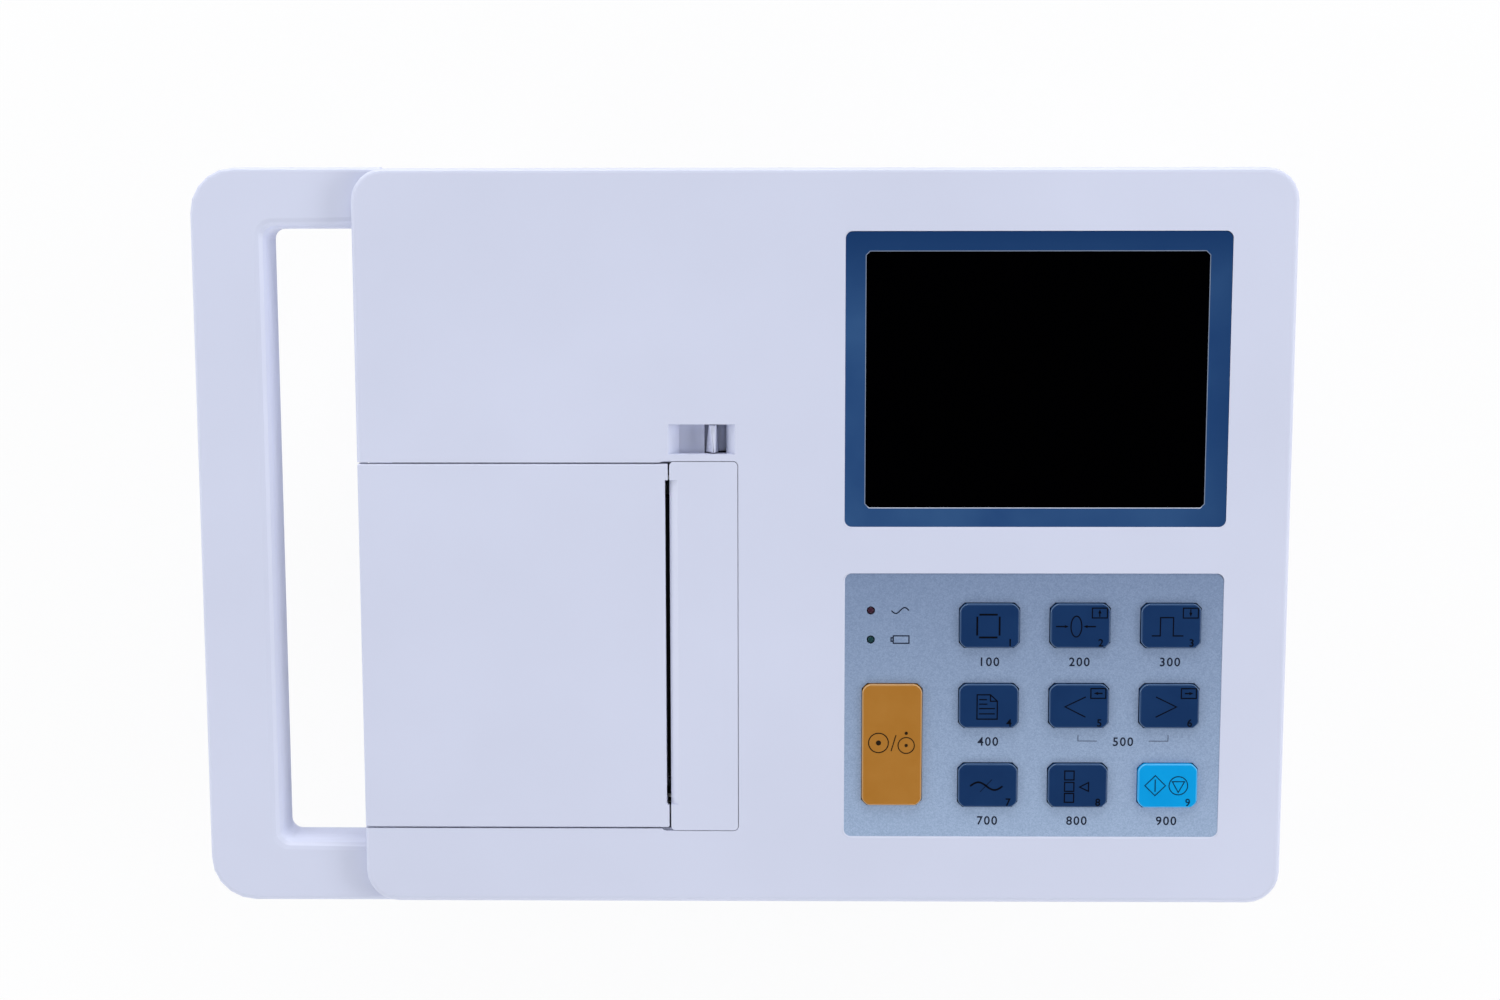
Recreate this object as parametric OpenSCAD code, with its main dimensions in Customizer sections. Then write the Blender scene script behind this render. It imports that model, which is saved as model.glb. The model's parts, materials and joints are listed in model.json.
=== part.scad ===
// Tabletop electrocardiograph with a roll-paper printer, a display, a keypad and a side handle.
// +Z is up, the user sits at -Y, the handle is at -X. All sizes are in millimetres.
// The deck slopes down towards the user; whatever is set into it is drawn in the deck's own frame.

/* [Body] */
// Width of the body, without its handle
body_w = 270.4; // [266:0.2:330]
// Depth of the body from front to rear
body_d = 214.6; // [210:0.2:260]
// Height of the front edge of the deck above the table
front_h = 57.15; // [57:0.05:75]
// Slope of the deck down towards the user, in degrees
deck_slope = 5.3; // [4.5:0.1:6]
// Corner radius of the top case
corner_r = 9.5; // [7:0.5:12]
// Wall of the moulded cases
wall = 2.5; // [2:0.1:3]
// Depth of the rim of the top case
rim_h = 5; // [4.5:0.5:6]
// Height of the rubber feet
foot_h = 3; // [2:0.5:3.5]

/* [Handle] */
// Reach of the handle beyond the left side of the body
handle_reach = 47.5; // [44:0.5:60]
// Width of the bar that the hand closes on
handle_bar = 21.7; // [18:0.1:24]
// Width of the two arms
handle_arm = 18; // [14:0.5:20]
// Thickness of the handle, top to bottom
handle_t = 18; // [16:0.5:22]

/* [Printer] */
// Width of the chart paper
paper_w = 80; // [70:1:82]
// Radius of a full roll of paper
roll_r = 21; // [12:0.5:21.5]
// Radius of the rubber platen
platen_r = 6.5; // [6:0.1:6.5]
// Module of the printer's gears
gear_module = 0.5; // [0.48:0.01:0.5]
// Thickness of the printer's gears
gear_t = 3; // [2:0.5:3]

/* [Keypad] */
// Width of a key
key_w = 17.4; // [14:0.1:21]
// Height of a key, front to rear
key_d = 13.1; // [11:0.1:16]
// Distance between key columns
key_pitch_x = 26.35; // [24:0.05:27]
// Distance between key rows
key_pitch_y = 23.8; // [21:0.1:25]
// How far a key travels
key_travel = 0.6; // [0.3:0.1:0.8]
// How far a key stands above the deck
key_up = 1; // [0.5:0.1:2]

/* [Fits] */
// Radial clearance of a running shaft or pin
run_gap = 0.05; // [0.02:0.01:0.1]
// Radial clearance of a part that is fixed on its shaft
fixed_gap = 0.01; // [0.01:0.01:0.02]
// Gap around the display window and the keypad overlay
panel_gap = 0.1; // [0.05:0.05:0.3]
// Gap around the keys
key_gap = 0.15; // [0.1:0.05:0.3]
// Gap around the paper door
door_gap = 0.35; // [0.2:0.05:0.4]
// Gap around the printer cover and the release lever
cover_gap = 0.2; // [0.1:0.05:0.3]

/* [Hidden] */
$fn = 48;

// Colours
case_colour = [0.80, 0.82, 0.90];
inner_colour = [0.70, 0.71, 0.74];
panel_blue = [0.16, 0.30, 0.48];
panel_metal = [0.58, 0.65, 0.75];
key_blue = [0.13, 0.24, 0.41];
run_blue = [0.03, 0.64, 0.94];
power_orange = [0.69, 0.48, 0.19];
steel = [0.62, 0.63, 0.65];
brass = [0.75, 0.62, 0.35];
board_green = [0.10, 0.35, 0.20];
near_black = [0.07, 0.07, 0.08];

// Plan of the case; the handle and the body together are centred on X = 0
x_right = (body_w + handle_reach) / 2;
x_left = x_right - body_w;
x_grip = x_left - handle_reach;
half_d = body_d / 2;
deck_mid = front_h + half_d * tan(deck_slope);
edge_r = 1.6;
tub_inset = 0.6;
floor_z = foot_h + wall;
tub_wall = tub_inset + wall;

// Handle: its top lies under the rim of the cap, and its halves part half-way down
grip_top = rim_h;
grip_part = grip_top + 7;
grip_low = grip_top + handle_t;
grip_wall = 2.2;
grip_out_r = 13;
grip_in_r = 3;
grip_over = 0.9;
grip_half_d = half_d + grip_over;
grip_x = x_grip + handle_bar / 2;

// Screws of the case: three along each long side and three in the bar of the handle
screw_r = 1.5;
screw_head_r = 2.75;
screw_head_t = 2;
boss_r = 4;
post_r = 5;
boss_drop = 12;
boss_places = [for (y = [9 - half_d, half_d - 9])
    for (x = [x_left + 12, x_left + (y < 0 ? 129.5 : 152), x_right - 9]) [x, y]];
grip_screw_y = [-60, 0, 60];

// Printer, in a frame at the left side of the body and the middle of the paper: [x, z] places
printer_y = -30;
door_x = 90.25;
door_y = [-55.1, 53];
door_t = 2.5;
slot_x = [89.4, 90.7];
slot_half = 48.2;
cover_x = 110.45;
cover_y = [-55.9, 53.55];
cover_r = 1.3;
slot_depth = 1.2;
scoop = 2.4;
hinge = [5, -9];
hinge_r = 1.5;
roll_at = [45.5, -27.5];
core_r = 7.5;
core_hole_r = 6.3;
reel_r = 5.9;
stub_r = 3;
platen_at = [84, -13];
platen_shaft_r = 2.5;
head_x = platen_at[0] + platen_r + 0.3;
head_pivot_at = [95.5, -24.5];
head_pivot_r = 1.5;
latch_at = [101.5, -30];
latch_r = 2;
platen_half = 42;
ear_y = 43.5;
ear_t = 2;
plate_y = 47.4;
plate_t = 1.2;
hook_y = 49.3;
hook_t = 1.2;
gear_y = -54;
bay_x = [10, 75.5];
bay_y = [-56, 54];
bay_floor = -52;
bay_top = -max(door_t, wall) - cover_gap;
chassis_x = [77, 108];
chassis_z = -47;
recess_z = -17;

// Gears: teeth of the platen gear, the idler and the motor's pinion
platen_teeth = 24;
idler_teeth = 30;
pinion_teeth = 12;
backlash = 0.12;
idler_at = platen_at - [0, (platen_teeth + idler_teeth) * gear_module / 2];
motor_angle = -70.5;
motor_at = idler_at + (idler_teeth + pinion_teeth) * gear_module / 2
    * [cos(motor_angle), sin(motor_angle)];
idler_pin_r = 1.5;
motor_shaft_r = 1;
motor_r = 9;

// Latch recess beside the door
recess_y = [55.7, 64.4];
recess_top = [90.4, 109.8];
recess_floor = [93.5, 106.45];
recess_depth = 4.5;
lever_gap = 0.3;
lever_y = [recess_y[0] + lever_gap, recess_y[1] - lever_gap];
lever_ridge = [[103.2, 104], [102.3, 104.3]];
lever_foot = [[101, 104.9], [102, 104.5]];
lever_top = -0.9;
lever_travel = 2.3;

// Display and keypad, in a frame at the right side of the body
window_x = [-129.35, -18.65];
window_y = [4.2, 89.7];
window_t = 1.5;
lcd_view = [[-123, 10.25], [-25.15, 83.9]];
ledge = 4;
panel_x = [-129.15, -18.75];
panel_y = [-88, -9.05];
panel_t = 0.8;
panel_depth = 1;
panel_r = 2.5;
key_col = -86.6;
key_row = -24.35;
power_at = [-114.8, -59.85];
power_size = [17.5, 36.2];
key_chamfer = 1.6;
flange = 1;
flange_t = 1;
led_at = [[-121.15, -20], [-121.15, -28.6]];
led_r = 1.15;
stem_r = 1.6;
stem_in = 1;
switch_top = -4.6;
switch_half = 3;
board_top = -8;
board_t = 1.6;

// Battery well, open to the base, and the cells in it
well = [[-128, -97], [-48, -53]];
well_top = 32;
battery_door_t = 2;
cell_r = 9.5;
cell_pitch = 18.8;

// Rear panel, sunk into the rear wall
rear_x = [x_left + 17, x_left + 144];
rear_z = [24, 54];
rear_sink = 3;
rear_face = half_d - tub_inset - rear_sink;
rear_mid_z = 39;
inlet_x = x_left + 62;
switch_x = x_left + 98;
fuse_x = [x_left + 116, x_left + 133];
earth_x = x_left + 28;

// Right-hand sockets, sunk into the right wall
side_y = [-30, 62];
side_z = [20, 44];
side_face = x_right - tub_inset - rear_sink;
main_z = 16;

// Height of the deck above the table at a depth y
function deck_z(y) = deck_mid + y * tan(deck_slope);

// Frames of the deck, of the printer and of the panels on the right
module on_deck() translate([0, 0, deck_mid]) rotate([deck_slope, 0, 0]) children();
module at_printer() on_deck() translate([x_left, printer_y, 0]) children();
module at_panel() on_deck() translate([x_right, 0, 0]) children();

// Box between two corners
module block(lo, hi) translate(lo) cube(hi - lo);

// Flat rectangle with round corners, and a plate cut to that shape
module rounded(lo, hi, r) {
    translate(lo + [r, 0]) square([hi[0] - lo[0] - 2 * r, hi[1] - lo[1]]);
    translate(lo + [0, r]) square([hi[0] - lo[0], hi[1] - lo[1] - 2 * r]);
    for (x = [lo[0] + r, hi[0] - r], y = [lo[1] + r, hi[1] - r]) translate([x, y]) circle(r);
}
module plate(lo, hi, z0, z1, r) translate([0, 0, z0]) linear_extrude(z1 - z0) rounded(lo, hi, r);

// Rod and extruded profile that lie across the printer, from y0 to y1
module rod(at, y0, y1, r) translate([at[0], y1, at[1]]) rotate([90, 0, 0]) cylinder(h = y1 - y0, r = r);
module across(y0, y1) translate([0, y1, 0]) rotate([90, 0, 0]) linear_extrude(y1 - y0) children();

// Solid skinned over rings of points, each ring clockwise seen against the way the rings run
module skin(rings) {
    n = len(rings[0]);
    last = (len(rings) - 1) * n;
    polyhedron(
        points = [for (ring = rings) each ring],
        faces = concat(
            [[for (i = [0:n - 1]) i]],
            [[for (i = [n - 1:-1:0]) last + i]],
            [for (j = [0:n:last - n], i = [0:n - 1]) [j + i, j + n + i, j + n + (i + 1) % n]],
            [for (j = [0:n:last - n], i = [0:n - 1]) [j + i, j + n + (i + 1) % n, j + (i + 1) % n]]));
}

// Outline of the body drawn in by a distance, with n steps round each corner
function body_outline(inset, n = 6) = let (r = max(corner_r - inset, 0.5)) [
    for (c = [[x_right, -1, -90], [x_right, 1, 0], [x_left, 1, 90], [x_left, -1, 180]])
        for (i = [0:n]) let (side = c[0] > 0 ? 1 : -1, a = c[2] + 90 * i / n)
            [c[0] - side * (inset + r) + r * cos(a), c[1] * (half_d - inset - r) + r * sin(a)]];

// Wedge stacked from levels of [inset, height at mid depth, slope]
module wedge(levels) skin([for (l = levels) [for (p = body_outline(l[0]))
    [p[0], p[1], l[1] + p[1] * tan(l[2])]]]);

// Everything above, or below, a plane parallel to the deck
module above(z) on_deck() translate([-400, -400, z]) cube([800, 800, 200]);
module below(z) on_deck() translate([-400, -400, z - 200]) cube([800, 800, 200]);

// Outer and inner edge of the handle in plan, from the rear arm round the bar to the front arm
function grip_half(x_end, n = 5) = concat(
    [[[x_end, grip_half_d], [x_end, grip_half_d - handle_arm]]],
    [for (i = [0:n]) let (c = cos(90 + 90 * i / n), s = sin(90 + 90 * i / n)) [
        [x_grip + grip_out_r * (1 + c), grip_half_d - grip_out_r * (1 - s)],
        [x_grip + handle_bar + grip_in_r * (1 + c), grip_half_d - handle_arm - grip_in_r * (1 - s)]]]);
function grip_path(x_end) = let (rear = grip_half(x_end)) concat(rear,
    [for (i = [len(rear) - 1:-1:0]) [for (p = rear[i]) [p[0], -p[1]]]]);

// Handle swept round its path; a section point is [0 outer or 1 inner edge, distance in, drop].
// The inner walls stand square to the deck, the outer ones upright like the walls of the body.
module grip(section, x_end) skin([for (pair = grip_path(x_end)) [for (s = section)
    let (way = (pair[0] - pair[1]) / norm(pair[0] - pair[1]), p = pair[s[0]] + way * s[1] * (2 * s[0] - 1))
    [p[0], p[1] + s[0] * s[2] * tan(deck_slope), deck_z(p[1]) - s[2]]]]);

// Quarter round of a section from its wall to its top, or to its bottom with a negative radius
function round_over(edge, r, drop, n = 4) = [for (i = [0:n])
    [edge, abs(r) * (1 - cos(90 * i / n)), drop + r * (1 - sin(90 * i / n))]];
function reversed(list) = [for (i = [len(list) - 1:-1:0]) list[i]];

// Involute gear outline
function involute(base, radius) = let (t = sqrt(max(pow(radius / base, 2) - 1, 0))) t * 180 / PI - atan(t);
function gear_points(teeth) = let (
    pitch = teeth * gear_module / 2,
    base = pitch * cos(20),
    tip = pitch + gear_module,
    root = pitch - 1.25 * gear_module,
    low = max(root, base),
    half = 90 / teeth - backlash / pitch * 90 / PI + involute(base, pitch),
    flank = [for (i = [0:3]) let (r = low + (tip - low) * i / 3) [r, half - involute(base, r)]])
    [for (k = [0:teeth - 1]) each [for (p = concat(
        [[root, -half]], [for (f = flank) [f[0], -f[1]]], reversed(flank), [[root, half]]))
        p[0] * [cos(p[1] + 360 * k / teeth), sin(p[1] + 360 * k / teeth)]]];
module gear(at, teeth, phase, bore) difference() {
    translate([at[0], 0, at[1]]) across(gear_y, gear_y + gear_t) rotate(phase) polygon(gear_points(teeth));
    rod(at, gear_y - 1, gear_y + gear_t + 1, bore);
}

// Coil spring along +Z with flat-sided wire
module coil(r, wire, turns, length, sides = 6, steps = 12) skin([for (i = [0:turns * steps])
    let (a = 360 * i / steps, z = length * i / (turns * steps))
    [for (k = [0:sides - 1]) let (b = -360 * k / sides, d = r + wire * cos(b))
        [d * cos(a), d * sin(a), z - wire * sin(b)]]]);

// Screw with its head at the origin and its shank up the Z axis
module screw(r, head_r, head_t, length) {
    translate([0, 0, -head_t]) cylinder(h = head_t, r = head_r);
    cylinder(h = length, r = r);
}

module top_case() color(case_colour) difference() {
    union() {
        difference() {
            wedge(concat([[0, deck_mid - rim_h, deck_slope]], [for (i = [0:4])
                [edge_r * (1 - cos(22.5 * i)), deck_mid - edge_r * (1 - sin(22.5 * i)), deck_slope]]));
            wedge([[wall, deck_mid - rim_h - 1, deck_slope], [wall, deck_mid - wall, deck_slope]]);
        }
        // Bosses for the case screws
        for (p = boss_places) translate([p[0], p[1], deck_z(p[1]) - boss_drop])
            cylinder(h = boss_drop - wall / 2, r = boss_r);
        // Tray of the latch recess
        at_printer() block([recess_top[0] - 2, recess_y[0] - 2, -recess_depth - 1.5],
            [recess_top[1] + 2, recess_y[1] + 2, -wall / 2]);
        // Posts for the display and the keypad board
        at_panel() for (p = panel_posts) translate([p[0], p[1], board_top])
            cylinder(h = -board_top - wall / 2, r = 3);
        // Posts that the paper bay hangs from
        at_printer() for (p = bay_posts) translate([p[0], p[1], -6]) cylinder(h = 6 - wall / 2, r = 3);
    }
    for (p = boss_places) translate([p[0], p[1], deck_z(p[1]) - boss_drop - 1])
        cylinder(h = boss_drop - 1.5, r = screw_r + fixed_gap);
    at_printer() {
        // Opening of the door, through the left side
        block([-1, door_y[0] - door_gap, -20], [slot_x[1] + 1, door_y[1] + door_gap, 1]);
        // Opening of the printer cover with the ledge that it sits on
        plate([slot_x[1] - 3, cover_y[0] - cover_gap], [cover_x + cover_gap, cover_y[1] + cover_gap],
            -wall / 2, 1, cover_r + cover_gap);
        block([slot_x[1], cover_y[0] + 2, -wall - 1], [cover_x - 2, cover_y[1] - 2, 1]);
        // Latch recess with sloped ends, and the slot of its lever
        across(recess_y[0], recess_y[1]) polygon([[recess_floor[0], -recess_depth],
            [recess_floor[1], -recess_depth], [recess_top[1], 0], [recess_top[1], 1],
            [recess_top[0], 1], [recess_top[0], 0]]);
        block([lever_foot[0][0] - cover_gap, recess_y[0], -recess_depth - 3],
            [lever_foot[0][1] + lever_travel, recess_y[1], -recess_depth + 1]);
        for (p = bay_posts) translate([p[0], p[1], -7]) cylinder(h = 5, r = 1.2);
    }
    at_panel() {
        // Seat and opening of the display window
        plate([window_x[0], window_y[0]] - [panel_gap, panel_gap],
            [window_x[1], window_y[1]] + [panel_gap, panel_gap], -window_t, 1, panel_r);
        block([window_x[0] + ledge, window_y[0] + ledge, -wall - 1],
            [window_x[1] - ledge, window_y[1] - ledge, 0]);
        // Seat of the keypad overlay and the openings of its keys and lamps
        plate([panel_x[0], panel_y[0]] - [panel_gap, panel_gap],
            [panel_x[1], panel_y[1]] + [panel_gap, panel_gap], -panel_depth, 1, panel_r);
        for (k = key_places) translate([k[0], k[1], -wall - 1])
            linear_extrude(wall) key_shape(k[2], k[3], key_gap);
        for (p = led_at) translate([p[0], p[1], -wall - 1]) cylinder(h = wall + 2, r = led_r + run_gap);
        for (p = panel_posts) translate([p[0], p[1], board_top - 1]) cylinder(h = 6, r = 1.2);
    }
}

// Posts under the top case for the boards and for the paper bay
panel_posts = [for (x = [-132.3, -13.5], y = [-48, 20, 74]) [x, y]];
bay_posts = [[20, -61], [65, -61], [20, 59], [65, 59]];

// Keys: middle, width and depth
key_places = concat([for (j = [0:2], i = [0:2])
    [key_col + i * key_pitch_x, key_row - j * key_pitch_y, key_w, key_d]],
    [[power_at[0], power_at[1], power_size[0], power_size[1]]]);

// Outline of a key with its corners cut off, grown by a gap
module key_shape(w, d, grow) {
    x = w / 2 + grow;
    y = d / 2 + grow;
    polygon([[-x + key_chamfer, -y], [x - key_chamfer, -y], [x, -y + key_chamfer], [x, y - key_chamfer],
        [x - key_chamfer, y], [-x + key_chamfer, y], [-x, y - key_chamfer], [-x, -y + key_chamfer]]);
}

module key(i) {
    k = key_places[i];
    at_panel() translate([k[0], k[1], 0]) {
        translate([0, 0, -wall - flange_t])
            linear_extrude(wall + flange_t + key_up) key_shape(k[2], k[3], 0);
        translate([0, 0, -wall - flange_t]) linear_extrude(flange_t) key_shape(k[2], k[3], flange);
        translate([0, 0, switch_top - stem_in]) cylinder(h = -switch_top - wall + stem_in, r = stem_r);
    }
}
module key_1() color(key_blue) key(0);
module key_2() color(key_blue) key(1);
module key_3() color(key_blue) key(2);
module key_4() color(key_blue) key(3);
module key_5() color(key_blue) key(4);
module key_6() color(key_blue) key(5);
module key_7() color(key_blue) key(6);
module key_8() color(key_blue) key(7);
module key_9() color(run_blue) key(8);
module key_power() color(power_orange) key(9);

// One switch under each key; the stem of the key reaches into it
module key_switches() color(near_black) at_panel() for (k = key_places) difference() {
    translate([k[0], k[1], 0])
        block([-switch_half, -switch_half, board_top], [switch_half, switch_half, switch_top]);
    translate([k[0], k[1], switch_top - stem_in - 2 * key_travel]) cylinder(h = 5, r = stem_r + run_gap);
}

module keypad_board() color(board_green) at_panel() difference() {
    block([panel_x[0] - 5.5, panel_y[0] + 4, board_top - board_t],
        [panel_x[1] + 7.5, panel_y[1] - 3, board_top]);
    for (p = panel_posts) translate([p[0], p[1], -20]) cylinder(h = 20, r = 1.6);
}

module keypad_overlay() color(panel_metal) at_panel() difference() {
    plate([panel_x[0], panel_y[0]], [panel_x[1], panel_y[1]],
        -panel_depth, panel_t - panel_depth, panel_r);
    for (k = key_places) translate([k[0], k[1], -2]) linear_extrude(3) key_shape(k[2], k[3], key_gap);
    for (p = led_at) translate([p[0], p[1], -2]) cylinder(h = 3, r = led_r + run_gap);
}

module indicator_leds() color([0.4, 0.05, 0.05]) at_panel()
    for (p = led_at) translate([p[0], p[1], board_top]) {
        cylinder(h = -board_top - 1, r = led_r);
        translate([0, 0, -board_top - 1]) intersection() {
            sphere(r = led_r);
            cylinder(h = 2, r = 2);
        }
    }

module display_window() color([0.05, 0.06, 0.08, 0.6]) at_panel()
    plate([window_x[0], window_y[0]], [window_x[1], window_y[1]], -window_t, -0.1, panel_r);

// Metal frame that clips the display under its window
lcd_lo = lcd_view[0] - [6, 4];
lcd_hi = lcd_view[1] + [6, 4];
module lcd_frame() color(steel) at_panel() difference() {
    union() {
        block([lcd_lo[0], lcd_lo[1], board_top], [lcd_hi[0], lcd_hi[1], -wall]);
        // Ears that are screwed to the posts
        for (p = panel_posts) if (p[1] > 0) {
            ear = p[0] < lcd_lo[0] ? [p[0] - 4, lcd_lo[0] + 1] : [lcd_hi[0] - 1, p[0] + 4];
            block([ear[0], p[1] - 4, board_top - board_t], [ear[1], p[1] + 4, board_top]);
        }
    }
    block([lcd_view[0][0], lcd_view[0][1], board_top - 3], [lcd_view[1][0], lcd_view[1][1], 0]);
    block([lcd_lo[0] + 1, lcd_lo[1] + 1, board_top - 3], [lcd_hi[0] - 1, lcd_hi[1] - 1, -wall - 0.8]);
    for (p = panel_posts) translate([p[0], p[1], -20]) cylinder(h = 20, r = 1.6);
}
module lcd_panel() color(near_black) at_panel()
    block([lcd_lo[0] + 1.2, lcd_lo[1] + 1.2, board_top + 1],
        [lcd_hi[0] - 1.2, lcd_hi[1] - 1.2, -wall - 0.8]);
module lcd_board() color(board_green) at_panel() {
    block([lcd_lo[0] + 1.5, lcd_lo[1] + 1.5, board_top - 0.6],
        [lcd_hi[0] - 1.5, lcd_hi[1] - 1.5, board_top + 1]);
    block([lcd_lo[0] + 30, lcd_lo[1] + 4, board_top - 4],
        [lcd_lo[0] + 66, lcd_lo[1] + 10, board_top - 0.6]);
}

module board_screws() color(steel) {
    at_panel() for (p = panel_posts) translate([p[0], p[1], board_top - board_t]) screw(1.15, 2.4, 1.6, 5.5);
    at_printer() for (p = bay_posts) translate([p[0], p[1], -8]) screw(1.15, 2.4, 1.6, 5.5);
    at_printer() for (p = chassis_feet)
        translate([p[0], p[1], chassis_z + plate_t]) rotate([180, 0, 0]) screw(1.15, 2.4, 1.6, 6);
    for (p = main_posts)
        translate([p[0], p[1], main_z]) rotate([180, 0, 0]) screw(1.15, 2.4, 1.6, 6);
    for (p = supply_posts)
        translate([p[0], p[1], supply_z]) rotate([180, 0, 0]) screw(1.15, 2.4, 1.6, 5);
}
chassis_feet = [for (x = [80.5, 103.5], y = [-40, 40]) [x, y]];
main_posts = [[x_right - 148, -42], [x_right - 12, -42], [x_right - 148, 36], [x_right - 12, 36]];
supply_z = 12;
supply_posts = [[x_left + 16, 40], [x_left + 92, 40], [x_left + 16, 82], [x_left + 92, 82]];

module bottom_case() color(case_colour) difference() {
    union() {
        difference() {
            wedge([[tub_inset + 2.6, foot_h, 0], [tub_inset + 0.9, foot_h + 0.7, 0],
                [tub_inset, foot_h + 2.6, 0], [tub_inset, deck_mid - rim_h, deck_slope]]);
            wedge([[tub_wall + 1.5, floor_z, 0], [tub_wall, floor_z + 1.5, 0],
                [tub_wall, deck_mid, deck_slope]]);
        }
        // Lower half of the handle
        difference() {
            grip(concat([[1, 0, grip_part], [0, 0, grip_part]], round_over(0, -5, grip_low),
                reversed(round_over(1, -5, grip_low))), x_left + 2);
            grip([[1, grip_wall, grip_part - 1], [0, grip_wall, grip_part - 1], [0, grip_wall, grip_low - 5],
                [0, 5, grip_low - grip_wall], [1, 5, grip_low - grip_wall], [1, grip_wall, grip_low - 5]],
                x_left - 1);
        }
        difference() {
            for (y = grip_screw_y) translate([grip_x, y, deck_z(y) - grip_low + 1])
                cylinder(h = handle_t, r = post_r);
            above(-grip_part);
        }
        // Posts of the case screws
        for (p = boss_places) translate([p[0], p[1], foot_h + 1])
            cylinder(h = deck_z(p[1]) - boss_drop - foot_h - 1, r = post_r);
        // Posts of the printer, cut parallel to the deck
        difference() {
            at_printer() for (p = chassis_feet) translate([p[0], p[1], -90]) cylinder(h = 90, r = boss_r);
            above(chassis_z);
            translate([-400, -400, foot_h + 1 - 200]) cube([800, 800, 200]);
        }
        // Posts of the boards
        for (p = main_posts) translate([p[0], p[1], foot_h + 1])
            cylinder(h = main_z - board_t - foot_h - 1, r = 3);
        for (p = supply_posts) translate([p[0], p[1], foot_h + 1])
            cylinder(h = supply_z - board_t - foot_h - 1, r = 3);
        // Battery well
        block([x_right + well[0][0] - 2, well[0][1] - 2, foot_h + 1],
            [x_right + well[1][0] + 2, well[1][1] + 2, well_top + 2]);
        // Ribs that stiffen the floor
        for (x = [-110, -75, -36]) block([x_right + x - 0.8, tub_wall - half_d, foot_h + 1],
            [x_right + x + 0.8, half_d - tub_wall, floor_z + 2.5]);
        for (y = [-20, 48]) block([x_right - 118, y - 0.8, foot_h + 1],
            [x_right - tub_wall, y + 0.8, floor_z + 2.5]);
        // Walls of the recess that the door swings into
        at_printer() {
            block([1, door_y[0] - 3, recess_z - wall], [bay_x[0] - 0.1, door_y[1] + 3, recess_z]);
            for (y = [door_y[0] - 3, door_y[1] + 0.5])
                block([1, y, recess_z - 1], [bay_x[0] - 0.1, y + 2.5, -rim_h - 0.1]);
        }
        // Sunk panels at the rear and on the right
        block([rear_x[0] - 2, rear_face - wall, rear_z[0] - 2], [rear_x[1] + 2, half_d - 1.5, rear_z[1] + 2]);
        block([side_face - wall, side_y[0] - 2, side_z[0] - 2],
            [x_right - 1.5, side_y[1] + 2, side_z[1] + 2]);
    }
    // Screw holes, counterbored from below
    for (p = boss_places) {
        translate([p[0], p[1], 0]) cylinder(h = deck_z(p[1]) + 1 - boss_drop, r = screw_r + 0.2);
        translate([p[0], p[1], 0]) cylinder(h = deck_z(p[1]) - boss_drop - 4, r = screw_head_r + 0.5);
    }
    for (y = grip_screw_y) {
        translate([grip_x, y, deck_z(y) - grip_low - 1]) cylinder(h = handle_t, r = screw_r + 0.2);
        translate([grip_x, y, deck_z(y) - grip_low - 1])
            cylinder(h = grip_low - grip_part - 2, r = screw_head_r + 0.5);
    }
    at_printer() for (p = chassis_feet) translate([p[0], p[1], chassis_z - 6.5]) cylinder(h = 8, r = 1.2);
    for (p = main_posts) translate([p[0], p[1], main_z - board_t - 5]) cylinder(h = 6, r = 1.2);
    for (p = supply_posts) translate([p[0], p[1], supply_z - board_t - 4]) cylinder(h = 6, r = 1.2);
    // Opening on the left that the hinge side of the door swings into
    at_printer() block([-1, door_y[0] - 0.5, recess_z], [wall + 2, door_y[1] + 0.5, 5]);
    // Inside of the battery well and the seat of its door
    block([x_right + well[0][0], well[0][1], 0], [x_right + well[1][0], well[1][1], well_top]);
    block([x_right + well[0][0] - 1.2, well[0][1] - 1.2, 0],
        [x_right + well[1][0] + 1.2, well[1][1] + 1.2, foot_h + battery_door_t]);
    // Sunk panels and what passes through them
    block([rear_x[0], rear_face, rear_z[0]], [rear_x[1], half_d + 1, rear_z[1]]);
    block([side_face, side_y[0], side_z[0]], [x_right + 1, side_y[1], side_z[1]]);
    rear_cuts();
    side_cuts();
    // Sound slots under the speaker, air slots in the rear wall and sockets of the feet
    for (i = [-2:2]) translate([speaker_at[0] + 5 * i, speaker_at[1], foot_h - 1])
        plate([-1, -9], [1, 9], 0, wall + 2, 0.9);
    for (i = [0:5]) translate([x_left + 40 + 6 * i, 60, foot_h - 1])
        plate([-1.1, -14], [1.1, 14], 0, wall + 2, 1);
    for (i = [0:9]) block([x_right - 30 - 8 * i, half_d - wall - 2, 22],
        [x_right - 27 - 8 * i, half_d + 1, 46]);
    for (p = foot_places) translate([p[0], p[1], foot_h - 1]) cylinder(h = 2, r = foot_r + 0.1);
}

foot_r = 7;
foot_edge = 0.8;
foot_places = [for (x = [x_left + 28, x_right - 24], y = [18 - half_d, half_d - 18]) [x, y]];
speaker_at = [x_left + 132, 72];

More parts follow.
